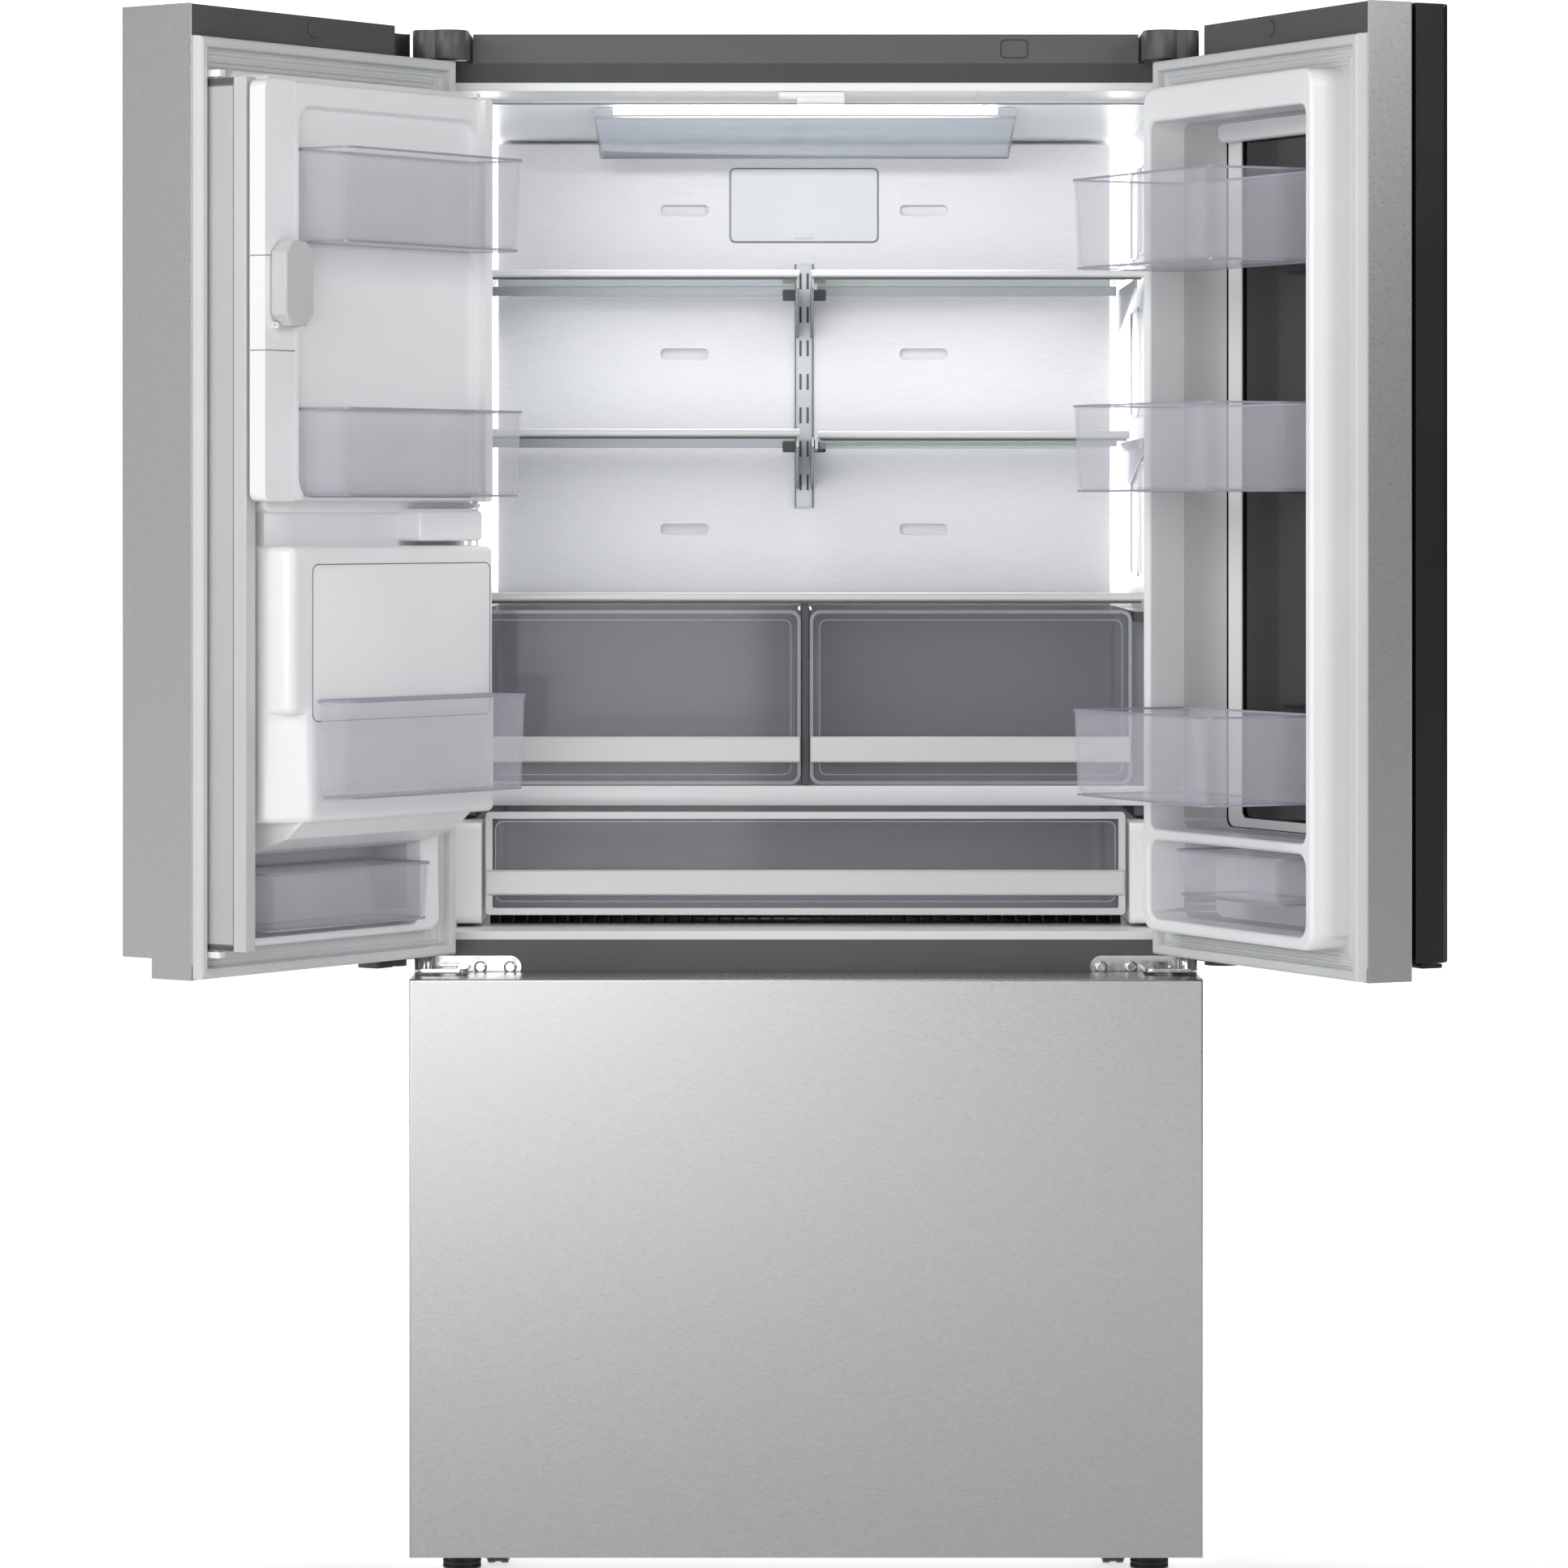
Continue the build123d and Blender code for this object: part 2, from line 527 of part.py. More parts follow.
# ---------------------------------------------------------------- base and machinery
def machinery():
    feet = []
    for x in (-FOOT_X, FOOT_X):
        pad = extrude(RegularPolygon(FOOT_RADIUS, 6), FOOT_HEIGHT / 2, both=True)
        pad = Pos(x, FOOT_Y, FOOT_HEIGHT / 2) * pad
        feet.append(pad + post(x, FOOT_Y, FOOT_HEIGHT, PAN_BOTTOM, 7))
        feet.append(post(x, REAR_FOOT_Y, 0, PAN_BOTTOM, 16))

    rollers = []
    for x in (-ROLLER_X, ROLLER_X):
        wheel = bar_x(x - ROLLER_WIDTH / 2, x + ROLLER_WIDTH / 2, ROLLER_Y, ROLLER_Z, ROLLER_RADIUS)
        axle = bar_x(x - ROLLER_WIDTH / 2 - 6, x + ROLLER_WIDTH / 2 + 6, ROLLER_Y, ROLLER_Z, AXLE)
        rollers.append(wheel + axle)

    shell = post(250, 530, 58, 178, 78)
    shell = fillet(shell.edges().group_by(Axis.Z)[-1], 32)
    shell = fillet(shell.edges().group_by(Axis.Z)[0], 14)
    for angle in (45, 135, 225, 315):
        x = 250 + 84 * cos(radians(angle))
        y = 530 + 84 * sin(radians(angle))
        shell += post(x, y, CASE_BOTTOM, 66, 11)
        shell += block(min(x, 250), max(x, 250), min(y, 530), max(y, 530), 58, 64)
    shell += bar_x(300, 342, 530, 120, 6)

    condenser = [serpentine(462 + layer * 40) for layer in range(4)]
    fin = block(-196, -195.2, 448, 604, 60, 236)
    spots = [(462 + layer * 40, 78 + row * 36) for layer in range(4) for row in range(5)]
    fin -= [bar_x(-197, -194, y, z, 4.1) for y, z in spots]
    condenser += [Pos(9 * number, 0, 0) * fin for number in range(22)]

    heights = [430 + row * 34 for row in range(5)]
    coil = [bar_x(-266, 266, 528, z, 5) for z in heights]
    plate = block(-240, -239.2, 510, 546, 414, 584)
    plate -= [bar_x(-241, -238, 528, z, 5.1) for z in heights]
    coil += [Pos(19 * number, 0, 0) * plate for number in range(26)]
    end = block(258, 261, 506, LINER_BACK - LINER, 408, 590)
    coil += both_sides(end - [bar_x(257, 262, 528, z, 5.1) for z in heights])
    coil.append(block(-280, 280, 492, 495, 380, 640))

    x, y, z = FAN_AXIS
    fan = bar_x(x - 14, x + 14, y, z, 20)
    for blade in range(5):
        turn = Location((x, y, z), (0, 0, 0)) * Rot(72 * blade, 0, 0)
        fan += turn * Pos(0, 0, 42) * Rot(0, 0, 32) * Box(2, 44, FAN_RADIUS - 18)
    stub = bar_y(WATER_X, 606, 628, WATER_Z, WATER_RADIUS)
    valve = block(WATER_X - 22, WATER_X + 22, 560, 606, WATER_Z - 22, WATER_Z + 22)
    valve += block(WATER_X - 22, WATER_X + 22, 560, 600, CASE_BOTTOM, WATER_Z - 20)
    gland = bar_y(GLAND_X, CASE_DEPTH, CASE_DEPTH + GLAND_LENGTH, GLAND_Z, 13)
    gland -= bar_y(GLAND_X, CASE_DEPTH - 1, CASE_DEPTH + 6, GLAND_Z, CORD_RADIUS)
    return {
        "leveling_feet": feet,
        "front_rollers": rollers,
        "compressor": [shell],
        "condenser": condenser,
        "evaporator": coil,
        "condenser_fan": [fan],
        "rear_fittings": [valve + stub, gland],
    }


def serpentine(y):
    """One bank of condenser tube: straight runs joined by end bends, as one solid."""
    bank = None
    for row in range(5):
        run = bar_x(-205, 11, y, 78 + row * 36, 4)
        bank = run if bank is None else bank + run
    for row in range(4):
        x = 11 if row % 2 else -205
        bank += post(x, y, 78 + row * 36, 114 + row * 36, 4)
    return bank


# ---------------------------------------------------------------- doors, in the door frame
def door_skin(bottom, depth):
    """Folded sheet over a door's front and both upright edges."""
    skin = block(0, DOOR_WIDTH, -depth, 0, bottom, DOOR_TOP)
    skin = fillet(skin.edges().filter_by(Axis.Z).group_by(Axis.Y)[0], 2)
    return skin - block(SHEET, DOOR_WIDTH - SHEET, -depth + SHEET, 1, bottom - 1, DOOR_TOP + 1)


def door_caps(front, back_bottom):
    """Plastic end caps: the top one is notched for the hinge, both take a hinge pin."""
    u0 = SHEET
    u1 = DOOR_WIDTH - SHEET
    top = block(u0, u1, front, 0, DOOR_SHOULDER, DOOR_TOP - 1)
    top += block(u0, u1, front, -10, DOOR_SHOULDER - 12, DOOR_SHOULDER)
    top -= block(-1, 105, -64, 1, DOOR_SHOULDER, DOOR_TOP + 1)
    top -= post(PIVOT_U, PIVOT_V, DOOR_SHOULDER - 11, DOOR_SHOULDER + 1, PIN + RUNNING)
    bottom = block(u0, u1, back_bottom, 0, DOOR_BOTTOM + 0.5, 735)
    bottom -= post(PIVOT_U, PIVOT_V, DOOR_BOTTOM, DOOR_BOTTOM + 13, PIN + RUNNING)
    return top, bottom


def hinge_notch():
    """Space cut from a skin's hinge edge for the upper hinge and its cover."""
    return block(-1, 105, -64, 1, DOOR_SHOULDER, DOOR_TOP + 1)


def door_gasket():
    return ring(GASKET_HINGE_U, 449, 0, GASKET, 720.5, 1746, GASKET_WIDTH, 5)


def left_door():
    pocket_back = -DOOR_DEPTH + POCKET_DEPTH
    front = -DOOR_DEPTH + SHEET
    skin = door_skin(DOOR_BOTTOM, DOOR_DEPTH)
    skin -= block(-1, DOOR_WIDTH + 1, -DOOR_DEPTH - 1, pocket_back, DOOR_BOTTOM - 1, POCKET_TOP)
    skin -= hinge_notch()
    window = block(*DISPENSER_U, -DOOR_DEPTH - 1, -DOOR_DEPTH + 3, *DISPENSER_Z)
    skin -= window

    top_cap, bottom_cap = door_caps(front, pocket_back)
    bottom_cap += block(SHEET, DOOR_WIDTH - SHEET, front, pocket_back, POCKET_TOP + 1, 757)
    bottom_cap += block(SHEET, DOOR_WIDTH - SHEET, pocket_back, pocket_back + 2, 735, 757)
    stop = rounded(32, 62, -92, -62, 704, POCKET_TOP + 1, 3)
    cam = post(14, -77, 704, DOOR_BOTTOM + 0.5, 15)
    cam += block(2, 26, -77, pocket_back + 4, 712, DOOR_BOTTOM + 0.5)

    core = block(SHEET, DOOR_WIDTH - SHEET, pocket_back + 2, 0, 735, DOOR_SHOULDER - 12)
    core += block(SHEET, DOOR_WIDTH - SHEET, front, pocket_back + 2, 757, DOOR_SHOULDER - 12)
    core += block(SHEET, DOOR_WIDTH - SHEET, -10, 0, DOOR_SHOULDER - 12, DOOR_SHOULDER)
    plateau = crowned(rounded(DIKE_START, DIKE_LEFT, -5, PLATEAU, DIKE_BOTTOM, DIKE_TOP, 16, Axis.Y), 7)
    housing = crowned(rounded(50, DIKE_LEFT, -5, 67, 1228, 1705, 12, Axis.Y), 4)
    neck = block(54, 400, 10, 60, HUMP_Z[1] - 20, 1240)
    liner = core + plateau + housing + neck + dispenser_hump()
    liner += crowned(rounded(60, 172, 50, 92, 1196, 1230, 5, Axis.Y), 3)
    for z0, z1 in ((744, 750.5), (1701.5, 1709)):
        lug = rounded(423, 436.5, -2, 27, z0, z1, 4)
        liner += lug - post(*FLAP_AXIS, z0 - 1, z1 + 1, FLAP_PIN + RUNNING)
    for z0, z1 in ((ICE_DOOR_Z[0] - 7, ICE_DOOR_Z[0] - 1.5), (ICE_DOOR_Z[1] + 1.5, ICE_DOOR_Z[1] + 7)):
        lug = rounded(47, 58, 60, 80, z0, z1, 4)
        liner += lug - post(*ICE_AXIS, z0 - 1, z1 + 1, ICE_PIN + RUNNING)
    liner -= rounded(70, 396, -60, 68, 1258, 1676, 12, Axis.Y)
    liner -= rounded(84, 380, -50, PLATEAU + 1, 761, 876, 16, Axis.Y)
    liner += recess_ceiling(86, 378)
    liner -= block(DISPENSER_U[0], DISPENSER_U[1], -DOOR_DEPTH - 1, -DOOR_DEPTH + 4, *DISPENSER_Z)
    tub_u = (RECESS_U[0] - 3, RECESS_U[1] + 3)
    tub_z = (RECESS_Z[0] - 3, RECESS_Z[1] + 3)
    liner -= block(*tub_u, -DOOR_DEPTH, RECESS_BACK + 2, *tub_z)

    bezel = block(DISPENSER_U[0], DISPENSER_U[1], -DOOR_DEPTH, -DOOR_DEPTH + 4, *DISPENSER_Z)
    tub = block(*tub_u, -DOOR_DEPTH + 4, RECESS_BACK + 2, *tub_z)
    dispenser = bezel + tub
    dispenser -= rounded(*RECESS_U, -DOOR_DEPTH - 1, RECESS_BACK, *RECESS_Z, 14, Axis.Y)
    dispenser += post(225, -58, 1196, RECESS_Z[1] + 1, 20) - post(225, -58, 1190, 1239, 17)
    drip_tray = block(RECESS_U[0] - 1, RECESS_U[1] + 1, -92, RECESS_BACK + 1, 0, 9)
    dispenser += Pos(0, 0, RECESS_Z[0] - 1) * drip_tray

    tall = rounded(*PADDLE_U, PADDLE_V, PADDLE_V + 5, *PADDLE_Z, 12, Axis.Y)
    axle_z = PADDLE_Z[1] - 6
    paddle = tall + bar_x(RECESS_U[0] + 1, RECESS_U[1] - 1, PADDLE_V + 2.5, axle_z, 2.4)

    lower_bin = tray(57, 369, HUMP_V + 0.2, 158, 917, 1024, 2.6, 9)
    dairy_bin = tray(90, 374, -47, 45, 768, 833, 2.6, 14)
    return {
        "left_door_skin": [skin],
        "left_door_caps": [top_cap, bottom_cap, stop, cam],
        "left_door_core": banded(liner, -130, 0, 757, 770, 848, 946, 1252, 1272, 1662),
        "left_door_liner": banded(liner, 0, 130, 1228),
        "left_door_gasket": [door_gasket()],
        "left_door_bins": [lower_bin, dairy_bin],
        "dispenser_front": [dispenser],
        "dispenser_paddle": [paddle],
        "ice_bin": [ice_bin()],
    }


def banded(solid, v0, v1, *heights):
    """The part of a door solid between two depths, cut into bands that meet at the given heights."""
    levels = [DOOR_BOTTOM, *heights, DOOR_TOP]
    return [solid & block(-1, DOOR_WIDTH + 1, v0, v1, low, high) for low, high in zip(levels, levels[1:])]


def dispenser_hump():
    """Housing of the dispenser: full width above, drawn in at its free side behind the lower bin."""
    low, high = HUMP_Z
    upper = rounded(50, DIKE_LEFT, 0, HUMP_V, HUMP_STEP, high, 14)
    upper = crowned(upper, 9)
    outline = [(50, 0), (50, HUMP_V), (374, HUMP_V), (DIKE_LEFT, 68), (DIKE_LEFT, 0)]
    lower = Pos(0, 0, low) * extrude(make_face(Polyline(outline, close=True)), HUMP_STEP + 20 - low)
    lower = crowned(fillet(lower.edges().filter_by(Axis.Z), 10), 8)
    return upper + lower


def recess_ceiling(u0, u1):
    """Sloping underside of the hump, which runs back into the dairy recess."""
    outline = [(-50.5, 878), (-50.5, 850), (-8, 850), (36, 858), (74, 872), (98, 893), (0, 893)]
    ceiling = side_profile((u1 - u0) / 2, outline)
    edges = ceiling.edges().filter_by(Axis.X).group_by(Axis.Z)[0]
    return Pos((u0 + u1) / 2, 0, 0) * fillet(edges, 9)


def ice_bin():
    """Ice bucket with its drive coupling, inside the ice compartment."""
    bucket = tray(80, 386, -50, 58, 1262, 1480, 3, 14)
    return bucket + bar_y(233, -58, -49, 1330, 24)


def ice_door_parts():
    u0, u1 = ICE_DOOR_U
    v0, v1 = ICE_DOOR_V
    z0, z1 = ICE_DOOR_Z
    panel = rounded(u0, u1, v0, v1, z0, z1, 12, Axis.Y)
    panel += rounded(ICE_STRIP_U, u1, v0, ICE_STRIP_V, z0, z1, 10, Axis.Y)
    panel += rounded(u0, u0 + 13, v0, ICE_CHEEK_V, z0, z1, 5, Axis.Y)
    panel += block(u0 + 8, ICE_STRIP_U + 12, v0, ICE_STRIP_V, z1 - 24, z1 - 2)
    panel += block(u0 + 8, ICE_STRIP_U + 12, v0, ICE_STRIP_V, z0 + 2, z0 + 4.5)
    panel += post(*ICE_AXIS, z0 - 6.5, z0 + 16, ICE_PIN) + post(*ICE_AXIS, z1 - 13, z1 + 6.5, ICE_PIN)
    pin_v, pin_z = ICE_LATCH_AXIS
    for lug_u in (380, 417):
        lug = rounded(lug_u, lug_u + 4, ICE_STRIP_V - 2, pin_v + 2.5, pin_z - 4, pin_z + 3, 1.5, Axis.X)
        panel += lug - bar_x(lug_u - 1, lug_u + 5, pin_v, pin_z, ICE_LATCH_PIN + RUNNING)
    bins = []
    for low, high in ((1521, 1625), (1245.5, 1342)):
        bins.append(tray(64, 374, v1 + 0.2, 158, low, high, 2.6, 9))

    lu0, lu1 = ICE_LATCH_U
    lv0, lv1 = ICE_LATCH_V
    lz0, lz1 = ICE_LATCH_Z
    latch = block(lu0, lu1, lv0, lv1, lz0, lz1)
    latch = chamfer(latch.edges().filter_by(Axis.Y), 12)
    latch = fillet(latch.edges().group_by(Axis.Y)[-1], 3)
    latch -= block(lu0 - 1, lu0 + 30, lv0 - 1, lv0 + 9, lz0 + 30, lz1 - 22)
    latch += bar_x(lu0 + 3.5, lu1 - 3.5, pin_v, pin_z, ICE_LATCH_PIN)
    return {"ice_door": [panel], "ice_door_bins": bins, "ice_latch": [latch]}


def mullion():
    flap = rounded(*FLAP_U, *FLAP_V, *FLAP_Z, 2)
    for z0, z1 in ((FLAP_Z[0] - 7, FLAP_Z[0]), (FLAP_Z[1], FLAP_Z[1] + 7)):
        flap += post(*FLAP_AXIS, z0, z1, FLAP_PIN)
    return {"mullion_flap": [flap]}


def right_door():
    skin = door_skin(DOOR_BOTTOM, FRAME_DEPTH)
    skin -= hinge_notch()
    through = rounded(*WINDOW_U, -FRAME_DEPTH - 1, 60, *WINDOW_Z, 12, Axis.Y)
    skin -= through

    front = -FRAME_DEPTH + SHEET
    top_cap, bottom_cap = door_caps(front, front)
    u, v = OUTER_AXIS
    lug_low, lug_high = DOOR_SHOULDER - 11, DOOR_SHOULDER - 1
    lug = block(SHEET + 1, 22, v, -FRAME_DEPTH, lug_low, lug_high) + post(u + 2, v, lug_low, lug_high, 10)
    top_hinge = lug + post(u, v, lug_high, lug_high + 20, OUTER_PIN)
    foot = post(u, v, 705, DOOR_BOTTOM, 20) + block(2, 28, v, -47.5, 711, DOOR_BOTTOM)
    bottom_hinge = foot + post(u, v, DOOR_BOTTOM, OUTER_BOTTOM + 14, OUTER_PIN)

    core = block(SHEET, DOOR_WIDTH - SHEET, front, 0, 735, DOOR_SHOULDER - 12)
    core += block(SHEET, DOOR_WIDTH - SHEET, -10, 0, DOOR_SHOULDER - 12, DOOR_SHOULDER)
    dike = rounded(DIKE_START, DIKE_RIGHT, -5, 47, DIKE_BOTTOM, DIKE_TOP, 20, Axis.Y)
    liner = core + dike - through
    liner -= rounded(60, 396, -42, 60, 766, 856, 16, Axis.Y)
    liner = crowned(liner, 5)

    bins = []
    for low, high in ((1502, 1604), (1251, 1349), (908.5, 1006.5)):
        bins.append(tray(66, 370, -2, 154, low, high, 2.6, 9))
    bins.append(tray(140, 364, -38, 62, 798, 850, 2.6, 9))
    return {
        "right_door_skin": [skin],
        "right_door_caps": [top_cap, bottom_cap, top_hinge, bottom_hinge],
        "right_door_core": banded(liner, -130, 0, 862, 882, 1658),
        "right_door_liner": banded(liner, 0, 130, 862, 882, 1658),
        "right_door_gasket": [door_gasket()],
        "right_door_bins": bins,
    }


def outer_door():
    front_face = -DOOR_DEPTH
    frame = block(2, DOOR_WIDTH, front_face + 5, OUTER_BACK, OUTER_BOTTOM, OUTER_TOP)
    frame -= rounded(*GLASS_U, front_face, OUTER_BACK + 1, *GLASS_Z, 10, Axis.Y)
    u, v = OUTER_AXIS
    frame -= block(0, 25, v - 12, OUTER_BACK + 1, DOOR_SHOULDER - 13, DOOR_SHOULDER)
    frame -= post(u, v, DOOR_SHOULDER - 2, DOOR_SHOULDER + 21, OUTER_PIN + RUNNING)
    frame -= post(u, v, OUTER_BOTTOM - 1, OUTER_BOTTOM + 16, OUTER_PIN + RUNNING)
    frame -= block(LATCH_U[0] - 2, DOOR_WIDTH - 3, -99, -68, OUTER_BOTTOM - 1, OUTER_BOTTOM + 14)
    front_pane = rounded(2, DOOR_WIDTH, front_face, front_face + 5, OUTER_BOTTOM, OUTER_TOP, 3, Axis.Y)
    inner_pane = block(GLASS_U[0], GLASS_U[1], OUTER_BACK - 6, OUTER_BACK - 2, *GLASS_Z)
    inner_pane = fillet(inner_pane.edges().filter_by(Axis.Y), 10)

    pin_v, pin_z = LATCH_AXIS
    frame -= bar_x(LATCH_U[0] - 9, LATCH_U[1] + 4.5, pin_v, pin_z, LATCH_PIN + RUNNING)
    lever = rounded(*LATCH_U, -98, pin_v + 3, *LATCH_Z, 2, Axis.X)
    lever += block(LATCH_U[0] + 4, LATCH_U[1] - 4, pin_v - 3, pin_v + 3, LATCH_Z[1], pin_z + 3)
    lever += bar_x(LATCH_U[0] - 8, LATCH_U[1] + 4, pin_v, pin_z, LATCH_PIN)
    return {
        "outer_door_frame": [frame],
        "outer_door_glass": [front_pane, inner_pane],
        "door_latch": [lever],
    }


# ---------------------------------------------------------------- assembly
def mirrored(nodes):
    return {name: [mirror(shape, about=Plane.YZ) for shape in shapes] for name, shapes in nodes.items()}


def placed(nodes, place):
    return {name: [place * shape for shape in shapes] for name, shapes in nodes.items()}


def all_nodes():
    fixed = {}
    for group in (
        cabinet_structure(),
        liners(),
        hinge_hardware(),
        top_covers(),
        duct_and_lights(),
        shelves(),
        drawers(),
        freezer_drawer(),
        machinery(),
    ):
        fixed.update(group)
    left = left_door() | ice_door_parts() | mullion()
    right = mirrored(right_door() | outer_door())
    return placed(fixed, ORIGIN) | placed(left, LEFT) | placed(right, RIGHT)


def main():
    os.makedirs("parts", exist_ok=True)
    for name, shapes in all_nodes().items():
        solids = [solid for shape in shapes for solid in shape.solids()]
        export_step(Compound(solids), f"parts/{name}.step")


if __name__ == "__main__":
    main()
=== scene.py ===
import bmesh
import bpy
import json
from math import cos, pi, radians, sin
from mathutils import Matrix, Vector


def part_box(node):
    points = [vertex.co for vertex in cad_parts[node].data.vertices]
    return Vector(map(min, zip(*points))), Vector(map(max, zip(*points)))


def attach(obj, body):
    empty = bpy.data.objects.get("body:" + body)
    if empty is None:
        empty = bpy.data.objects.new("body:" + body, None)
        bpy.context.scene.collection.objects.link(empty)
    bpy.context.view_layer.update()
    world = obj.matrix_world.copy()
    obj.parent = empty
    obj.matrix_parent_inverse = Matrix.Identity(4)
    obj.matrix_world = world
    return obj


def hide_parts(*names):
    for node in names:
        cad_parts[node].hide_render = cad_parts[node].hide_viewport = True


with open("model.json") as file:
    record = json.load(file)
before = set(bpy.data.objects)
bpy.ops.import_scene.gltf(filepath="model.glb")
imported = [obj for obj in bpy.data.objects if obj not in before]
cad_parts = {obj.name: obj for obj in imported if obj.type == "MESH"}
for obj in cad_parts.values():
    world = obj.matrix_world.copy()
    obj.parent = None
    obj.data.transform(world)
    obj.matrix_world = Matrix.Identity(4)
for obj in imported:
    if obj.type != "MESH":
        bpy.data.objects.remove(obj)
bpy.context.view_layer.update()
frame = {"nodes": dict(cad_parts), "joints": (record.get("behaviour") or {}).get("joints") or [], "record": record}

# French door refrigerator. Shapes are drawn in millimetres, in one of three local frames, and
# placed in the row frame in metres.
# Cabinet frame: X right, Y back from the cabinet's front face, Z up from the floor.
# Door frames: u from the hinge edge to the free edge, v inwards from the door's inner face.

MM = 0.001
PIVOT_U = 13.07
PIVOT_V = -31.84

nodes = frame["nodes"]
joints = {joint["name"]: joint for joint in frame["joints"]}


def door_place(joint_name, side):
    """Matrix from a door's frame in millimetres to the row frame; side is 1 or -1 for a mirrored door."""
    joint = joints[joint_name]
    x, y, _ = joint["pos_m"]
    opened = radians(-joint["range_deg"][0]) * joint["axis"][2]
    turn = Matrix.Translation((x, y, 0)) @ Matrix.Rotation(opened, 4, "Z")
    return turn @ Matrix.Diagonal((side * MM, MM, MM, 1)) @ Matrix.Translation((-PIVOT_U, -PIVOT_V, 0))


shell_low, shell_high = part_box("cabinet_shell")
CAB = Matrix.Translation(((shell_low.x + shell_high.x) / 2, shell_low.y, 0)) @ Matrix.Scale(MM, 4)
LEFT = door_place("left_door_hinge", 1)
RIGHT = door_place("right_door_hinge", -1)


# ---------------------------------------------------------------- measuring the frame
def solid_boxes(node, place):
    """Lowest and highest corner of each solid of a CAD node, in a local frame, from low to high."""
    mesh = nodes[node].data
    back = place.inverted()
    merged = {}
    ids = []
    for vertex in mesh.vertices:
        key = tuple(round(c, 5) for c in vertex.co)
        ids.append(merged.setdefault(key, len(merged)))
    group = list(range(len(merged)))

    def find(i):
        while group[i] != i:
            group[i] = group[group[i]]
            i = group[i]
        return i

    for edge in mesh.edges:
        group[find(ids[edge.vertices[0]])] = find(ids[edge.vertices[1]])
    boxes = {}
    for key, i in merged.items():
        point = back @ Vector(key)
        low, high = boxes.setdefault(find(i), (point.copy(), point.copy()))
        for axis in range(3):
            low[axis] = min(low[axis], point[axis])
            high[axis] = max(high[axis], point[axis])
    return sorted(boxes.values(), key=lambda pair: (round(pair[0].z), round(pair[0].x)))


# ---------------------------------------------------------------- mesh building, in millimetres
PLANES = {"x": (1, 2, 0), "y": (0, 2, 1), "z": (0, 1, 2)}


def at(axis, a, b, h):
    """Point with in-plane coordinates a, b and height h along an axis."""
    point = [0, 0, 0]
    first, second, third = PLANES[axis]
    point[first], point[second], point[third] = a, b, h
    return Vector(point)


def rounded_rectangle(a0, a1, b0, b1, radius, steps=5):
    """Closed outline with four rounded corners, always 4 * (steps + 1) points."""
    radius = max(min(radius, (a1 - a0) / 2 - 0.01, (b1 - b0) / 2 - 0.01), 0.01)
    corners = ((a1, b1, 0), (a0, b1, 90), (a0, b0, 180), (a1, b0, 270))
    points = []
    for a, b, start in corners:
        centre_a = a - radius if a == a1 else a + radius
        centre_b = b - radius if b == b1 else b + radius
        for step in range(steps + 1):
            angle = radians(start + 90 * step / steps)
            points.append((centre_a + radius * cos(angle), centre_b + radius * sin(angle)))
    return points


def skin_loops(bm, loops, closed_start=True, closed_end=True):
    """Joins closed loops of points, each with the same count, into one surface with end caps."""
    rows = [[bm.verts.new(p) for p in loop] for loop in loops]
    for low, high in zip(rows, rows[1:]):
        for i in range(len(low)):
            j = (i + 1) % len(low)
            bm.faces.new((low[i], low[j], high[j], high[i]))
    if closed_start:
        bm.faces.new(list(reversed(rows[0])))
    if closed_end:
        bm.faces.new(rows[-1])


def layered(bm, axis, rows, steps=5):
    """Solid through rounded rectangles (a0, a1, b0, b1, radius, height) stacked or nested along an axis."""
    loops = []
    for a0, a1, b0, b1, radius, height in rows:
        outline = rounded_rectangle(a0, a1, b0, b1, radius, steps)
        loops.append([at(axis, a, b, height) for a, b in outline])
    skin_loops(bm, loops)


def ring(bm, axis, outer, inner, h0, h1, steps=5):
    """Frame between two rounded rectangles (a0, a1, b0, b1, radius), from h0 to h1."""
    loops = []
    for rectangle, height in ((outer, h0), (outer, h1), (inner, h1), (inner, h0)):
        outline = rounded_rectangle(*rectangle, steps)
        loops.append([at(axis, a, b, height) for a, b in outline])
    rows = [[bm.verts.new(p) for p in loop] for loop in loops]
    for low, high in zip(rows, rows[1:] + rows[:1]):
        for i in range(len(low)):
            j = (i + 1) % len(low)
            bm.faces.new((low[i], low[j], high[j], high[i]))


def slab(bm, x0, x1, y0, y1, z0, z1):
    """Box."""
    loops = [[(x0, y0, z), (x1, y0, z), (x1, y1, z), (x0, y1, z)] for z in (z0, z1)]
    skin_loops(bm, loops)


def prism(bm, axis, outline, h0, h1):
    """Straight solid of any outline."""
    skin_loops(bm, [[at(axis, a, b, h) for a, b in outline] for h in (h0, h1)])


def turned(bm, axis, a, b, profile, sides=28):
    """Round solid about an axis through a, b, from (radius, height) pairs."""
    loops = []
    for radius, height in profile:
        loop = []
        for side in range(sides):
            angle = 2 * pi * side / sides
            loop.append(at(axis, a + radius * cos(angle), b + radius * sin(angle), height))
        loops.append(loop)
    skin_loops(bm, loops)


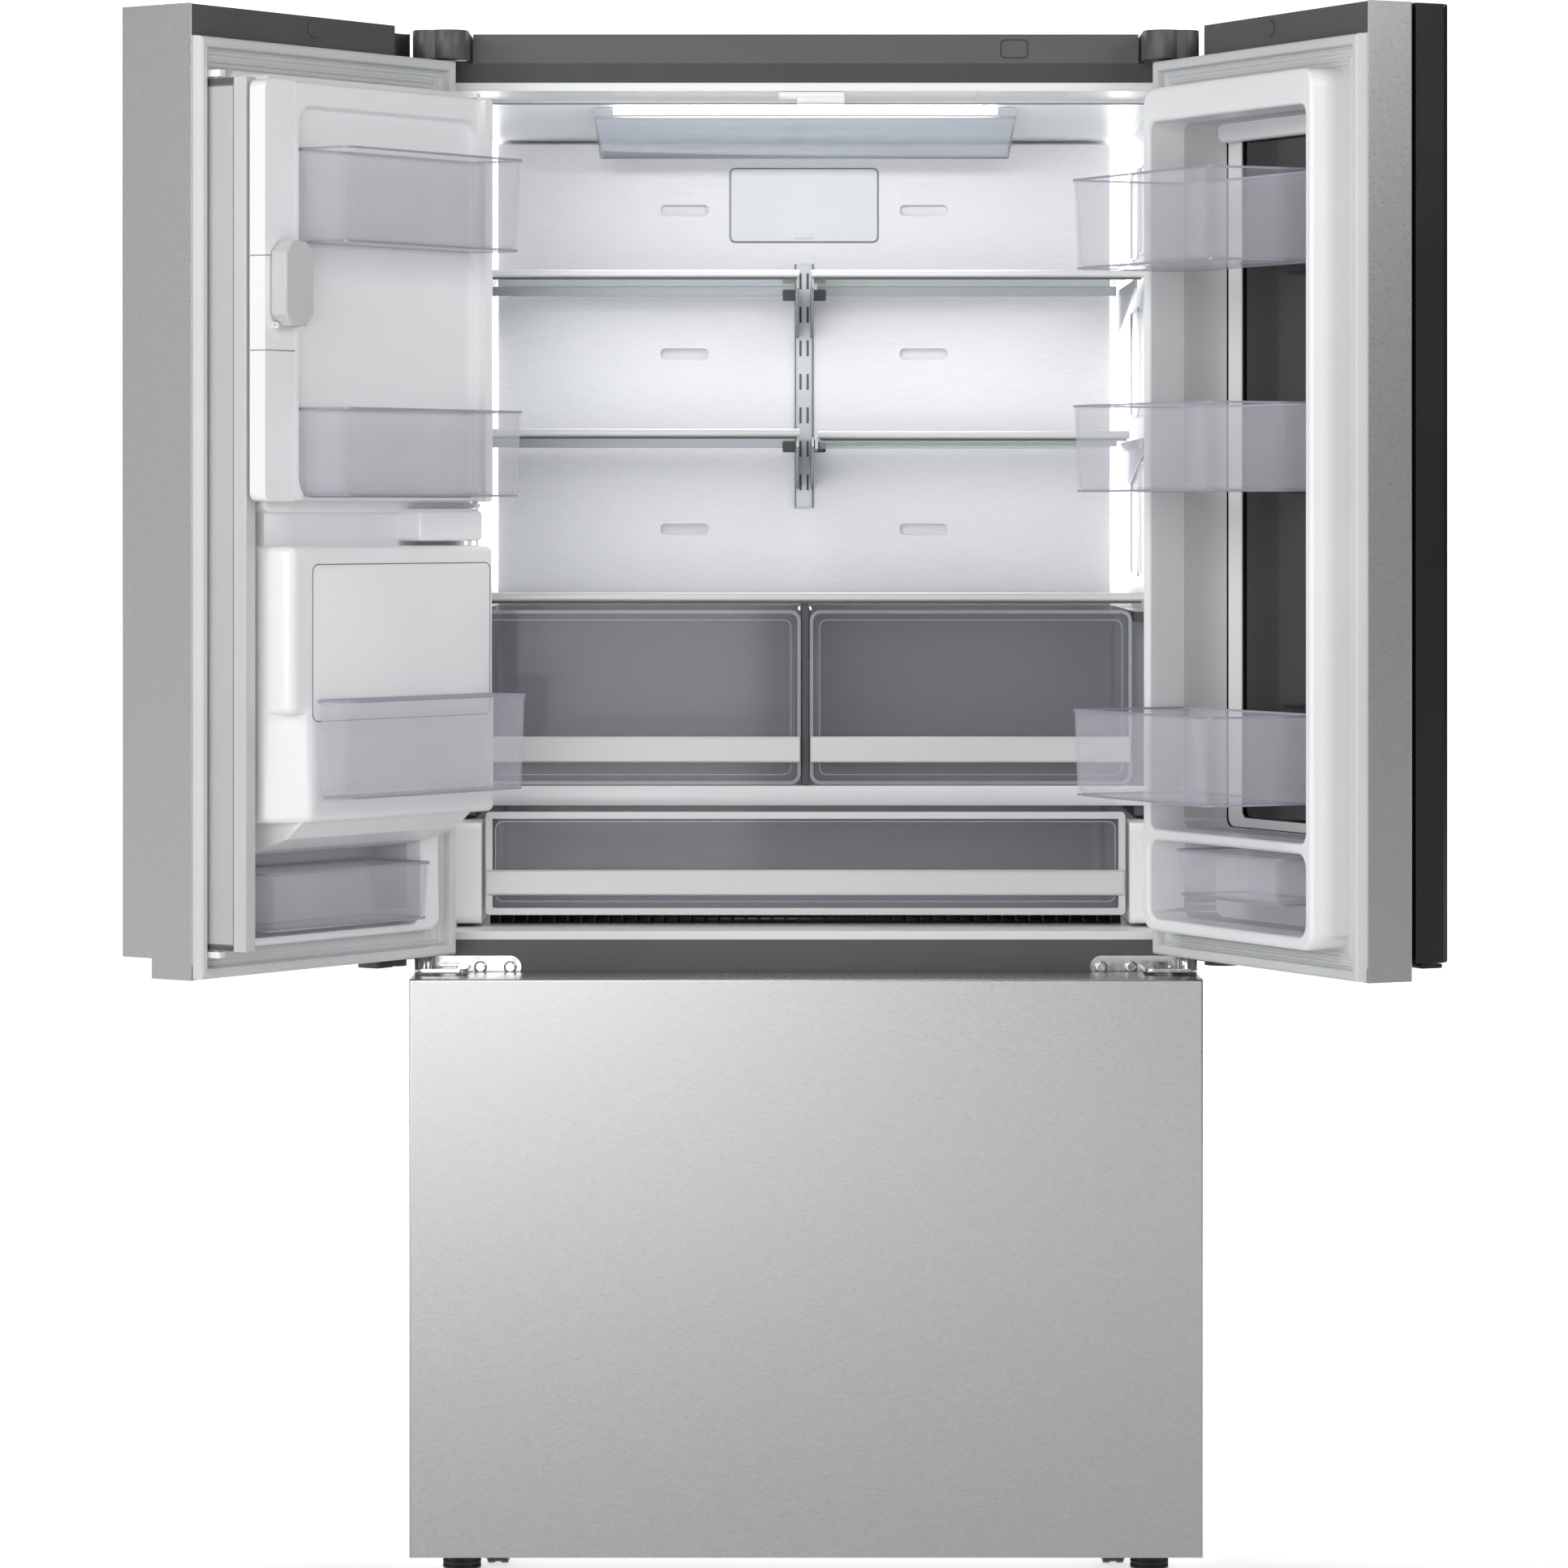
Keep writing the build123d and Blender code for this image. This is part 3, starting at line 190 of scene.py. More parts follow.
def piece(name, bm, place, body, material, bevel=0.0, replaced=()):
    """Turns a bmesh in local millimetres into a finished object that rides on a body."""
    bmesh.ops.transform(bm, matrix=place, verts=bm.verts)
    bmesh.ops.recalc_face_normals(bm, faces=bm.faces)
    for edge in bm.edges:
        if len(edge.link_faces) == 2:
            edge.smooth = edge.calc_face_angle(0) < radians(32)
    mesh = bpy.data.meshes.new(name)
    bm.to_mesh(mesh)
    bm.free()
    for polygon in mesh.polygons:
        polygon.use_smooth = True
    mesh.materials.append(material)
    obj = bpy.data.objects.new(name, mesh)
    bpy.context.scene.collection.objects.link(obj)
    if bevel:
        add_bevel(obj, bevel)
    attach(obj, body)
    if replaced:
        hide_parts(*replaced)
    return obj


def add_bevel(obj, width, segments=2, angle=40):
    modifier = obj.modifiers.new("bevel", "BEVEL")
    modifier.width = width * MM
    modifier.segments = segments
    modifier.limit_method = "ANGLE"
    modifier.angle_limit = radians(angle)
    modifier.harden_normals = True


# ---------------------------------------------------------------- materials
def node_material(name):
    material = bpy.data.materials.new(name)
    material.use_nodes = True
    tree = material.node_tree
    return material, tree, tree.nodes["Principled BSDF"]


def noise(tree, scale, stretch=(1, 1, 1), detail=3.0, rough=0.55):
    """Noise in object coordinates, in metres, stretched along the axes; gives the factor socket."""
    coords = tree.nodes.new("ShaderNodeTexCoord")
    mapping = tree.nodes.new("ShaderNodeMapping")
    mapping.inputs["Scale"].default_value = stretch
    texture = tree.nodes.new("ShaderNodeTexNoise")
    texture.inputs["Scale"].default_value = scale
    texture.inputs["Detail"].default_value = detail
    texture.inputs["Roughness"].default_value = rough
    tree.links.new(coords.outputs["Object"], mapping.inputs["Vector"])
    tree.links.new(mapping.outputs["Vector"], texture.inputs["Vector"])
    return texture.outputs["Fac"]


def spread(tree, factor, low, high):
    """Maps a noise factor to a range."""
    node = tree.nodes.new("ShaderNodeMapRange")
    node.inputs["From Min"].default_value = 0.3
    node.inputs["From Max"].default_value = 0.7
    node.inputs["To Min"].default_value = low
    node.inputs["To Max"].default_value = high
    tree.links.new(factor, node.inputs["Value"])
    return node.outputs["Result"]


def shaded(tree, factor, colour, amount):
    """Colour that wanders a little darker and lighter with a factor."""
    ramp = tree.nodes.new("ShaderNodeValToRGB")
    for element, gain, place in zip(ramp.color_ramp.elements, (1 - amount, 1 + amount), (0.3, 0.7)):
        element.position = place
        element.color = [min(c * gain, 1) for c in colour] + [1]
    tree.links.new(factor, ramp.inputs["Fac"])
    return ramp.outputs["Color"]


def bump(tree, shader, factor, depth):
    """Bump with a depth in millimetres."""
    node = tree.nodes.new("ShaderNodeBump")
    node.inputs["Strength"].default_value = 1.0
    node.inputs["Distance"].default_value = depth * MM
    tree.links.new(factor, node.inputs["Height"])
    tree.links.new(node.outputs["Normal"], shader.inputs["Normal"])


def plastic(name, colour, roughness, grain=900.0, depth=0.02, amount=0.03, coat=0.0):
    """Moulded plastic or paint: slight colour drift, fine grain and uneven gloss."""
    material, tree, shader = node_material(name)
    drift = noise(tree, 6.0)
    fine = noise(tree, grain)
    tree.links.new(shaded(tree, drift, colour, amount), shader.inputs["Base Color"])
    tree.links.new(spread(tree, drift, roughness * 0.88, roughness * 1.12), shader.inputs["Roughness"])
    bump(tree, shader, fine, depth)
    shader.inputs["Coat Weight"].default_value = coat
    shader.inputs["Coat Roughness"].default_value = 0.12
    return material


def brushed(name, colour, roughness, amount=0.06, length=150.0, depth=0.012, metallic=1.0):
    """Metal with short horizontal brush marks on every upright face."""
    material, tree, shader = node_material(name)
    strokes = noise(tree, length, (1, 1, 12), detail=4.0, rough=0.7)
    tree.links.new(shaded(tree, strokes, colour, amount), shader.inputs["Base Color"])
    tree.links.new(spread(tree, strokes, roughness * 0.8, roughness * 1.2), shader.inputs["Roughness"])
    bump(tree, shader, strokes, depth)
    shader.inputs["Metallic"].default_value = metallic
    return material


def polished(name, colour, roughness):
    """Plated or polished metal with faint wear."""
    material, tree, shader = node_material(name)
    wear = noise(tree, 60.0)
    tree.links.new(spread(tree, wear, roughness * 0.6, roughness * 1.5), shader.inputs["Roughness"])
    tree.links.new(shaded(tree, wear, colour, 0.03), shader.inputs["Base Color"])
    shader.inputs["Metallic"].default_value = 1.0
    return material


def clear(name, colour, face_alpha, edge_alpha, roughness=0.06):
    """Clear plastic or glass that thickens towards its edges."""
    material, tree, shader = node_material(name)
    facing = tree.nodes.new("ShaderNodeLayerWeight")
    facing.inputs["Blend"].default_value = 0.35
    drift = noise(tree, 25.0)
    alpha = tree.nodes.new("ShaderNodeMapRange")
    alpha.inputs["To Min"].default_value = face_alpha
    alpha.inputs["To Max"].default_value = edge_alpha
    tree.links.new(facing.outputs["Facing"], alpha.inputs["Value"])
    tree.links.new(alpha.outputs["Result"], shader.inputs["Alpha"])
    tree.links.new(shaded(tree, drift, colour, 0.02), shader.inputs["Base Color"])
    tree.links.new(spread(tree, drift, roughness * 0.7, roughness * 1.3), shader.inputs["Roughness"])
    return material


def glowing(name, colour, strength):
    """Lit diffuser with a faint frosting."""
    material, tree, shader = node_material(name)
    frost = noise(tree, 400.0)
    tree.links.new(shaded(tree, frost, colour, 0.02), shader.inputs["Base Color"])
    tree.links.new(shaded(tree, frost, colour, 0.02), shader.inputs["Emission Color"])
    shader.inputs["Emission Strength"].default_value = strength
    shader.inputs["Roughness"].default_value = 0.4
    return material


STEEL = brushed("stainless_steel", (0.50, 0.505, 0.51), 0.30, amount=0.09, length=210.0)
DUCT = brushed("duct_metal", (0.80, 0.785, 0.805), 0.42, amount=0.05, length=60.0, metallic=0.2)
TRIM_METAL = brushed("trim_metal", (0.62, 0.62, 0.615), 0.38, amount=0.03, metallic=0.25)
RAIL_METAL = brushed("shelf_rail_metal", (0.42, 0.44, 0.46), 0.40, amount=0.05)
CASE = plastic("case_paint", (0.042, 0.043, 0.045), 0.45, grain=1500.0, depth=0.012)
ZINC = plastic("galvanised_sheet", (0.42, 0.43, 0.44), 0.42, grain=140.0, depth=0.03, amount=0.05)
# Dark grey plastic of real parts; the same material also paints the shade in the shelf track's slots and the shelf
# shadow strips.
DARK_PLASTIC_AND_SHADE = plastic("dark_grey_plastic_and_painted_shade", (0.085, 0.087, 0.09), 0.42)
BLACK = plastic("black_plastic", (0.006, 0.006, 0.007), 0.30)
WHITE = plastic("white_liner", (0.86, 0.865, 0.875), 0.34, grain=500.0, depth=0.006, amount=0.01, coat=0.15)
LIGHT_GREY = plastic("light_grey_plastic", (0.56, 0.57, 0.58), 0.40)
FLAP_GREY = plastic("flap_cover_plastic", (0.47, 0.475, 0.48), 0.45)
GREY = plastic("grey_plastic", (0.36, 0.37, 0.38), 0.42)
# Grey of real seams and parting lines; the same material also paints the shade line under the ceiling ledge.
SEAM_GREY_AND_SHADE = plastic("parting_line_grey_and_painted_shade", (0.20, 0.205, 0.21), 0.6)
GASKET = plastic("gasket_rubber", (0.62, 0.63, 0.64), 0.55, grain=700.0, depth=0.02)
RUBBER = plastic("foot_rubber", (0.02, 0.02, 0.021), 0.7, grain=500.0, depth=0.05)
FOAM = plastic("insulation_foam", (0.78, 0.70, 0.42), 0.85, grain=260.0, depth=0.3, amount=0.08)
CHROME = polished("chrome", (0.62, 0.62, 0.63), 0.20)
ALUMINIUM = polished("aluminium", (0.70, 0.71, 0.72), 0.32)
ENAMEL = plastic("compressor_enamel", (0.012, 0.012, 0.012), 0.28, grain=300.0, depth=0.05, coat=0.3)
BIN = clear("clear_bin_plastic", (0.70, 0.70, 0.77), 0.06, 0.55)
BIN_BAND_SHADE = clear("clear_bin_band_and_painted_shade", (0.40, 0.39, 0.47), 0.62, 0.92)
DRAWER = clear("smoky_drawer_plastic", (0.22, 0.22, 0.26), 0.24, 0.80)
DRAWER_RIM_HIGHLIGHT = clear("drawer_rim_plastic_and_painted_highlight", (0.52, 0.53, 0.58), 0.60, 0.92)
PANE = clear("shelf_glass", (0.66, 0.74, 0.73), 0.22, 0.85)
LAMP_COVER = clear("lamp_cover_plastic", (0.62, 0.66, 0.74), 0.42, 0.85)
BLACK_GLASS = plastic("black_glass", (0.006, 0.006, 0.007), 0.10, grain=20.0, depth=0.001, coat=0.5)
LAMP = glowing("lit_diffuser", (1.0, 0.995, 0.985), 3.4)

SLOT_MATERIAL = {
    "stainless": STEEL,
    "case_grey": CASE,
    "galvanised": ZINC,
    "dark_plastic": DARK_PLASTIC_AND_SHADE,
    "black_plastic": BLACK,
    "white_liner": WHITE,
    "grey_trim": TRIM_METAL,
    "light_grey": LIGHT_GREY,
    "chrome": CHROME,
    "clear_bin": BIN,
    "pane": PANE,
    "dark_glass": BLACK_GLASS,
    "lamp": LAMP,
    "gasket": GASKET,
    "foot_rubber": RUBBER,
    "roller": BLACK,
    "foam": FOAM,
    "compressor_black": ENAMEL,
    "coil": ALUMINIUM,
    "rail_steel": ALUMINIUM,
    "duct_metal": DUCT,
    "bucket": LIGHT_GREY,
}
NODE_MATERIAL = {
    "crisper_left": DRAWER,
    "crisper_right": DRAWER,
    "pantry_drawer": DRAWER,
    "pantry_rails": WHITE,
    "shelf_supports": RAIL_METAL,
    "mullion_flap": LIGHT_GREY,
    "outer_door_frame": BLACK,
    "left_door_core": GASKET,
    "right_door_core": GASKET,
}
NODE_BEVEL = {
    "top_covers": 1.2,
    "fridge_liner": 1.0,
    "shelf_trims": 0.6,
    "left_door_caps": 0.8,
    "right_door_caps": 0.8,
}
NO_BEVEL = (
    "left_door_core",
    "left_door_liner",
    "right_door_core",
    "right_door_liner",
    "condenser",
    "evaporator",
)


def dress_nodes():
    """Gives every CAD node its procedural material and softened edges."""
    slots = {entry["node"]: entry["material_slot"] for entry in frame["record"]["subparts"]}
    for name, obj in nodes.items():
        material = NODE_MATERIAL.get(name, SLOT_MATERIAL[slots[name]])
        obj.data.materials.clear()
        obj.data.materials.append(material)
        weld = obj.modifiers.new("weld", "WELD")
        weld.merge_threshold = 0.01 * MM
        if name not in NO_BEVEL:
            add_bevel(obj, NODE_BEVEL.get(name, 0.4), segments=2)


# ---------------------------------------------------------------- door bins
def clear_bin(bm, low, high, wall=2.6, radius=12.0, draft=4.0):
    """Clear bin with draft, a rolled lip and rounded floor edges."""
    x0, y0, z0 = low
    x1, y1, z1 = high
    d = draft

    def row(inset, r, z):
        return (x0 + inset, x1 - inset, y0 + inset, y1 - inset, r, z)

    rows = [
        row(d + 3, radius - 3, z0),
        row(d + 0.8, radius - 1, z0 + 0.8),
        row(d, radius, z0 + 3),
        row(1.4, radius, z1 - 5),
        row(0, radius + 1, z1 - 4),
        row(0, radius + 1, z1 - 0.6),
        row(0.6, radius, z1),
        row(wall + 0.4, radius - wall, z1),
        row(wall + 1.0, radius - wall, z1 - 0.8),
        row(d + wall, radius - wall, z0 + 6),
        row(d + wall + 2.5, radius - wall - 2, z0 + 3),
    ]
    layered(bm, "z", rows)


def bin_rim_and_shade_bands(bm, low, high):
    """Solid rim and base bands of a clear moulding, in a darker tint that is painted shade for the dark lines
    along its edges.
    """
    x0, y0, z0 = low
    x1, y1, z1 = high
    rim = (x0 - 0.2, x1 + 0.2, y0 - 0.2, y1 + 0.2, 13)
    inner = (x0 + 2.2, x1 - 2.2, y0 + 2.2, y1 - 2.2, 11)
    ring(bm, "z", rim, inner, z1 - 2.4, z1 + 0.2)
    base = (x0 + 3.6, x1 - 3.6, y0 + 3.6, y1 - 3.6, 12)
    base_inner = (x0 + 8, x1 - 8, y0 + 8, y1 - 8, 8)
    ring(bm, "z", base, base_inner, z0, z0 + 2.5)


def make_bins(node, place, body):
    bm = bmesh.new()
    edges = bmesh.new()
    for low, high in solid_boxes(node, place):
        clear_bin(bm, low, high)
        bin_rim_and_shade_bands(edges, low, high)
    piece(node + "_clear", bm, place, body, BIN, replaced=(node,))
    piece(node + "_rim_and_shade_bands", edges, place, body, BIN_BAND_SHADE)


def door_bins():
    make_bins("right_door_bins", RIGHT, "right_door")
    make_bins("left_door_bins", LEFT, "left_door")
    make_bins("ice_door_bins", LEFT, "ice_compartment_door")


# ---------------------------------------------------------------- gaskets
# Heights above the flange, against the distance from the outer edge for the bulb, and against
# the share of the way from the bulb to the inner edge for the lip.
BULB_PROFILE = ((0, 0.1), (0, 8.5), (0.8, 11.6), (3, 13.3), (8.5, 13.3), (11, 11.8), (12, 9), (12, 3.2))
LIP_PROFILE = (
    (0.12, 3.0),
    (0.2, 4.4),
    (0.32, 4.4),
    (0.4, 2.6),
    (0.55, 2.6),
    (0.62, 3.8),
    (0.72, 3.8),
    (0.8, 1.8),
    (1.0, 1.2),
    (1.0, 0.1),
)


def rectangle_between(outer, inner, share):
    """Rectangle (a0, a1, b0, b1) part of the way from an outer one to an inner one."""
    return [a + (b - a) * share for a, b in zip(outer, inner)]


def gasket(name, place, body, outer, inner, width, replaced):
    """Magnetic gasket: a round bulb along the outer edge and a ribbed flat lip, mitred at the corners."""
    bulb = (outer[0] + width, outer[1] - width, outer[2] + width, outer[3] - width)
    rows = [(rectangle_between(outer, bulb, offset / width), height) for offset, height in BULB_PROFILE]
    rows += [(rectangle_between(bulb, inner, share), height) for share, height in LIP_PROFILE]
    bm = bmesh.new()
    loops = []
    for (a0, a1, b0, b1), height in rows:
        corners = ((a0, b0), (a1, b0), (a1, b1), (a0, b1))
        loops.append([bm.verts.new(at("y", a, b, height)) for a, b in corners])
    for low, high in zip(loops, loops[1:] + loops[:1]):
        for i in range(4):
            j = (i + 1) % 4
            bm.faces.new((low[i], low[j], high[j], high[i]))
    piece(name, bm, place, body, GASKET, replaced=(replaced,))


def gaskets():
    width = 12
    outer = (9, 449, 720.5, 1746)
    left_inner = (43, 436.8, 742, 1714)
    right_inner = (43, 413, 749, 1714)
    gasket("left_door_bellows", LEFT, "left_door", outer, left_inner, width, "left_door_gasket")
    gasket("right_door_bellows", RIGHT, "right_door", outer, right_inner, width, "right_door_gasket")
    drawer = CAB @ Matrix.Translation((0, -14, 0))
    outer = (-449, 449, 40, 686)
    inner = (-401, 401, 65, 673.5)
    gasket("freezer_bellows", drawer, "freezer_drawer", outer, inner, width, "freezer_gasket")


# ---------------------------------------------------------------- cabinet details
def screw_head(bm, axis, a, b, height, out, radius):
    """Pan-head screw with a round socket; out is 1 or -1 for the side that it faces."""
    profile = [(radius * 0.99, 0), (radius, 0.5), (radius * 0.92, 1.6), (radius * 0.62, 2.4)]
    profile += [(radius * 0.42, 2.5), (radius * 0.38, 1.2), (0.3, 1.1)]
    turned(bm, axis, a, b, [(r, height + out * h) for r, h in profile], sides=20)


def ceiling_details():
    bm = bmesh.new()
    slab(bm, -31, 45, 3, 34, 1710.5, 1716.5)
    slab(bm, -10, 45, 3, 34, 1704, 1710.5)
    layered(bm, "y", [(-6, 40, 1705.5, 1709, 1.5, 2.2), (-6, 40, 1705.5, 1709, 1.5, 3.2)])
    piece("mullion_guide", bm, CAB, "cabinet", WHITE, bevel=0.8)

    bm = bmesh.new()
    slab(bm, -403, 403, 98, 103, 1708.8, 1714)
    for x in (-300, -200, 200, 300):
        slab(bm, x - 0.6, x + 0.6, 20, 98, 1713.6, 1716.2)
    piece("ceiling_ledge", bm, CAB, "cabinet", WHITE, bevel=0.4)
    # Thin dark strip under the ledge's front edge: painted shade for the ledge's shaded front face.
    bm = bmesh.new()
    slab(bm, -402, 402, 97.2, 98, 1708.6, 1709.8)
    piece("ceiling_ledge_painted_shade", bm, CAB, "cabinet", SEAM_GREY_AND_SHADE)

    bm = bmesh.new()
    outline = [(162, 1709.8), (420, 1699.5), (420, 1670), (404, 1665), (176, 1698)]
    middle_y, middle_z = 290, 1690
    loops = []
    for x, inset in ((-252, 5), (-248, 0), (248, 0), (252, 5)):
        in_y, in_z = inset / 130, inset / 20
        loops.append([(x, y + (middle_y - y) * in_y, z + (middle_z - z) * in_z) for y, z in outline])
    skin_loops(bm, loops)
    piece("lamp_cover", bm, CAB, "cabinet", LAMP_COVER, bevel=1.0, replaced=("liner_covers",))
    bm = bmesh.new()
    slab(bm, -250, 250, 160.6, 162, 1696.5, 1699)
    slab(bm, -251, 251, 403, 405, 1663.8, 1665.2)
    for x in (-251.5, 250.5):
        prism(bm, "x", [(163, 1699), (404, 1664.2), (404, 1666), (163, 1701)], x, x + 1)
    piece("lamp_cover_edges", bm, CAB, "cabinet", GREY)

    bm = bmesh.new()
    rows = [
        (-92, 92, 1568, 1659, 6, 534.9),
        (-92, 92, 1568, 1659, 6, 531.2),
        (-90.8, 90.8, 1569.2, 1657.8, 5, 530),
    ]
    layered(bm, "y", rows)
    rows = [
        (-14, 14, 1571, 1577, 3, 530.2),
        (-14, 14, 1571, 1577, 3, 528.6),
        (-12, 12, 1572, 1576, 2, 528),
    ]
    layered(bm, "y", rows)
    piece("air_filter_cover", bm, CAB, "cabinet", WHITE)
    bm = bmesh.new()
    ring(bm, "y", (-93.4, 93.4, 1566.6, 1660.4, 7), (-91.8, 91.8, 1568.2, 1658.8, 6), 533.6, 534.9)
    piece("air_filter_gap", bm, CAB, "cabinet", SEAM_GREY_AND_SHADE)


def shelf_details():
    bm = bmesh.new()
    dark = bmesh.new()
    slab(bm, -8.6, 8.6, 529.6, 531, 1236, 1538)
    # Dark rectangles down the track's face: painted shade in its slots.
    for step in range(7):
        z = 1256 + step * 42
        for x in (-6, 3):
            slab(dark, x, x + 3, 529.2, 529.7, z, z + 20)
    for x in (-11.6, 10.6):
        slab(dark, x, x + 1, 530, 534.9, 1234, 1540)
    for z in (1507, 1318):
        for x0, x1 in ((-27, -11), (11, 27)):
            layered(dark, "y", [(x0, x1, z - 15, z - 1.2, 2, 486), (x0, x1, z - 15, z - 1.2, 2, 493.8)])
    piece("shelf_track_face", bm, CAB, "cabinet", RAIL_METAL, bevel=0.3)
    piece("shelf_track_dark_parts_and_slot_shade", dark, CAB, "cabinet", DARK_PLASTIC_AND_SHADE, bevel=0.3)

    bm = bmesh.new()
    shelf_fronts = ((-402, -7, 150, 1507), (7, 402, 150, 1507), (-402, -7, 150, 1318), (16, 396, 328, 1318))
    for x0, x1, y, z in shelf_fronts:
        slab(bm, x0 + 3, x1 - 3, y, y + 3, z - 2.4, z + 0.1)
    slab(bm, -399, 399, 152, 156, 1120, 1123.2)
    piece("shelf_shadow_strips", bm, CAB, "cabinet", DARK_PLASTIC_AND_SHADE, bevel=0.3)

    bm = bmesh.new()
    rows = [
        (-404, 404, 880.4, 903.6, 3, 152),
        (-404, 404, 880.4, 903.6, 3, 148.6),
        (-402, 402, 882, 902, 2, 147.6),
    ]
    layered(bm, "y", rows)
    for x in (-408.6, 404.4):
        slab(bm, x, x + 4.2, 148, 152, 868, 1110)
    piece("partition_front", bm, CAB, "cabinet", WHITE)

    # Rings on the drawer fronts: the moulded rim, in a lighter grey than the drawer plastic that is a painted
    # highlight along it.
    for name, body, x0, x1, y, z0, z1 in (
        ("crisper_left_rim_highlight", "left_crisper", -388, -5.5, 156, 905, 1112),
        ("crisper_right_rim_highlight", "right_crisper", 5.5, 388, 156, 905, 1112),
        ("pantry_rim_highlight", "pantry", -376, 376, 90, 759, 876),
    ):
        bm = bmesh.new()
        ring(bm, "y", (x0, x1, z0, z1, 12), (x0 + 4, x1 - 4, z0 + 4, z1 - 4, 9), y - 1, y + 0.6)
        line = (x0 + 11, x1 - 11, z0 + 11, z1 - 11, 9)
        line_inner = (x0 + 12.2, x1 - 12.2, z0 + 12.2, z1 - 12.2, 8)
        ring(bm, "y", line, line_inner, y - 0.5, y + 0.2)
        piece(name, bm, CAB, body, DRAWER_RIM_HIGHLIGHT)

    bm = bmesh.new()
    slab(bm, -372, 372, 110, 118, 743, 754.4)
    for i in range(46):
        x = -360 + 16 * i
        slab(bm, x - 1.4, x + 1.4, 104, 110, 744.5, 753)
    piece("lower_grille", bm, CAB, "cabinet", BLACK)

    bm = bmesh.new()
    for side in (-1, 1):
        for z0, z1 in ((1150, 1290), (1345, 1480), (1540, 1650)):
            for y0, y1 in ((180, 330), (350, 500)):
                outer = (y0, y1, z0, z1, 16)
                inner = (y0 + 4, y1 - 4, z0 + 4, z1 - 4, 12)
                ring(bm, "x", outer, inner, side * 408.9, side * 407)
    piece("wall_beads", bm, CAB, "cabinet", WHITE)


def outside_details():
    bm = bmesh.new()
    ring(bm, "y", (226, 258, 1755, 1777, 5), (227.2, 256.8, 1756.2, 1775.8, 4), -0.4, 0.4)
    piece("trim_sensor_outline", bm, CAB, "cabinet", BLACK)

    bm = bmesh.new()
    for x0, x1 in ((-420, -20), (20, 420)):
        for z0, z1 in ((300, 760), (800, 1240), (1280, 1700)):
            ring(bm, "y", (x0, x1, z0, z1, 26), (x0 + 9, x1 - 9, z0 + 9, z1 - 9, 18), 629.6, 632.2)
    piece("rear_panel_beads", bm, CAB, "cabinet", ZINC, bevel=1.0)

    bm = bmesh.new()
    for x in range(-420, 421, 120):
        screw_head(bm, "y", x, 252, 630, 1, 5)
        screw_head(bm, "y", x, 54, 630, 1, 5)
        screw_head(bm, "y", x, 1735, 630, 1, 5)
    for z in range(340, 1700, 220):
        for x in (-440, 440):
            screw_head(bm, "y", x, z, 630, 1, 5)
    piece("rear_screws", bm, CAB, "cabinet", CHROME)

    bm = bmesh.new()
    for x0, x1 in ((-453.4, -439), (439, 453.4)):
        slab(bm, x0, x1, 629.3, 630.4, 37, 250)
    piece("rear_corner_flanges", bm, CAB, "cabinet", ZINC, bevel=0.3)

    bm = bmesh.new()
    for x in (-400, 400):
        for z, radius in ((3, 22.6), (9, 22.6)):
            rows = [
                (19, z - 1),
                (radius - 0.3, z - 0.6),
                (radius - 0.3, z + 0.6),
                (19, z + 1),
            ]
            turned(bm, "z", x, 22, rows)
    piece("foot_ribs", bm, CAB, "cabinet", RUBBER)

    bm = bmesh.new()
    for x in (-359, 359):
        profile = [
            (4, -16),
            (4, -13.2),
            (9, -13),
            (12.5, -13),
            (15.5, -11.5),
            (15.5, -4),
            (14.2, -3),
            (14.2, 3),
        ]
        profile += [(15.5, 4), (15.5, 11.5), (12.5, 13), (9, 13), (4, 13.2), (4, 16)]
        turned(bm, "x", 46, 16.5, [(r, x + h) for r, h in profile], sides=32)
        for angle in range(0, 360, 60):
            t = radians(angle)
            a, b = 46 + 10.4 * cos(t), 16.5 + 10.4 * sin(t)
            rows = [
                (1.2, x - 13.6),
                (1.4, x - 12.5),
                (1.4, x + 12.5),
                (1.2, x + 13.6),
            ]
            turned(bm, "x", a, b, rows, sides=10)
    piece("roller_wheels", bm, CAB, "rollers", BLACK, replaced=("front_rollers",))


# ---------------------------------------------------------------- door details
def door_cap_discs():
    for name, place, body in (("left_cap_disc", LEFT, "left_door"), ("right_cap_disc", RIGHT, "right_door")):
        bm = bmesh.new()
        turned(bm, "y", 247, 1767, [(9.5, -0.5), (9.5, 1.4), (8.7, 2.2), (7.4, 2.2), (6.9, 1.7), (0.4, 1.7)])
        piece(name, bm, place, body, DARK_PLASTIC_AND_SHADE)


def mullion_details():
    bm = bmesh.new()
    layered(bm, "x", [(7.2, 47, 758, 1692, 1.2, 434.6), (7.2, 47, 758, 1692, 1.2, 435.15)])
    piece("flap_seam", bm, LEFT, "mullion_flap", SEAM_GREY_AND_SHADE)
    bm = bmesh.new()
    rows = [
        (8.4, 45.8, 759.5, 1690.5, 1, 434.8),
        (8.4, 45.8, 759.5, 1690.5, 1, 435.3),
        (9, 45.2, 760, 1690, 1, 435.5),
    ]
    layered(bm, "x", rows)
    piece("flap_plate", bm, LEFT, "mullion_flap", FLAP_GREY)
    bm = bmesh.new()
    for z0, z1 in ((752.2, 758), (1692, 1699.8)):
        layered(bm, "z", [(420, 435.4, 6, 48, 2, z0), (420, 435.4, 6, 48, 2, z1)])
    piece("flap_end_pads", bm, LEFT, "mullion_flap", DARK_PLASTIC_AND_SHADE, bevel=0.6)


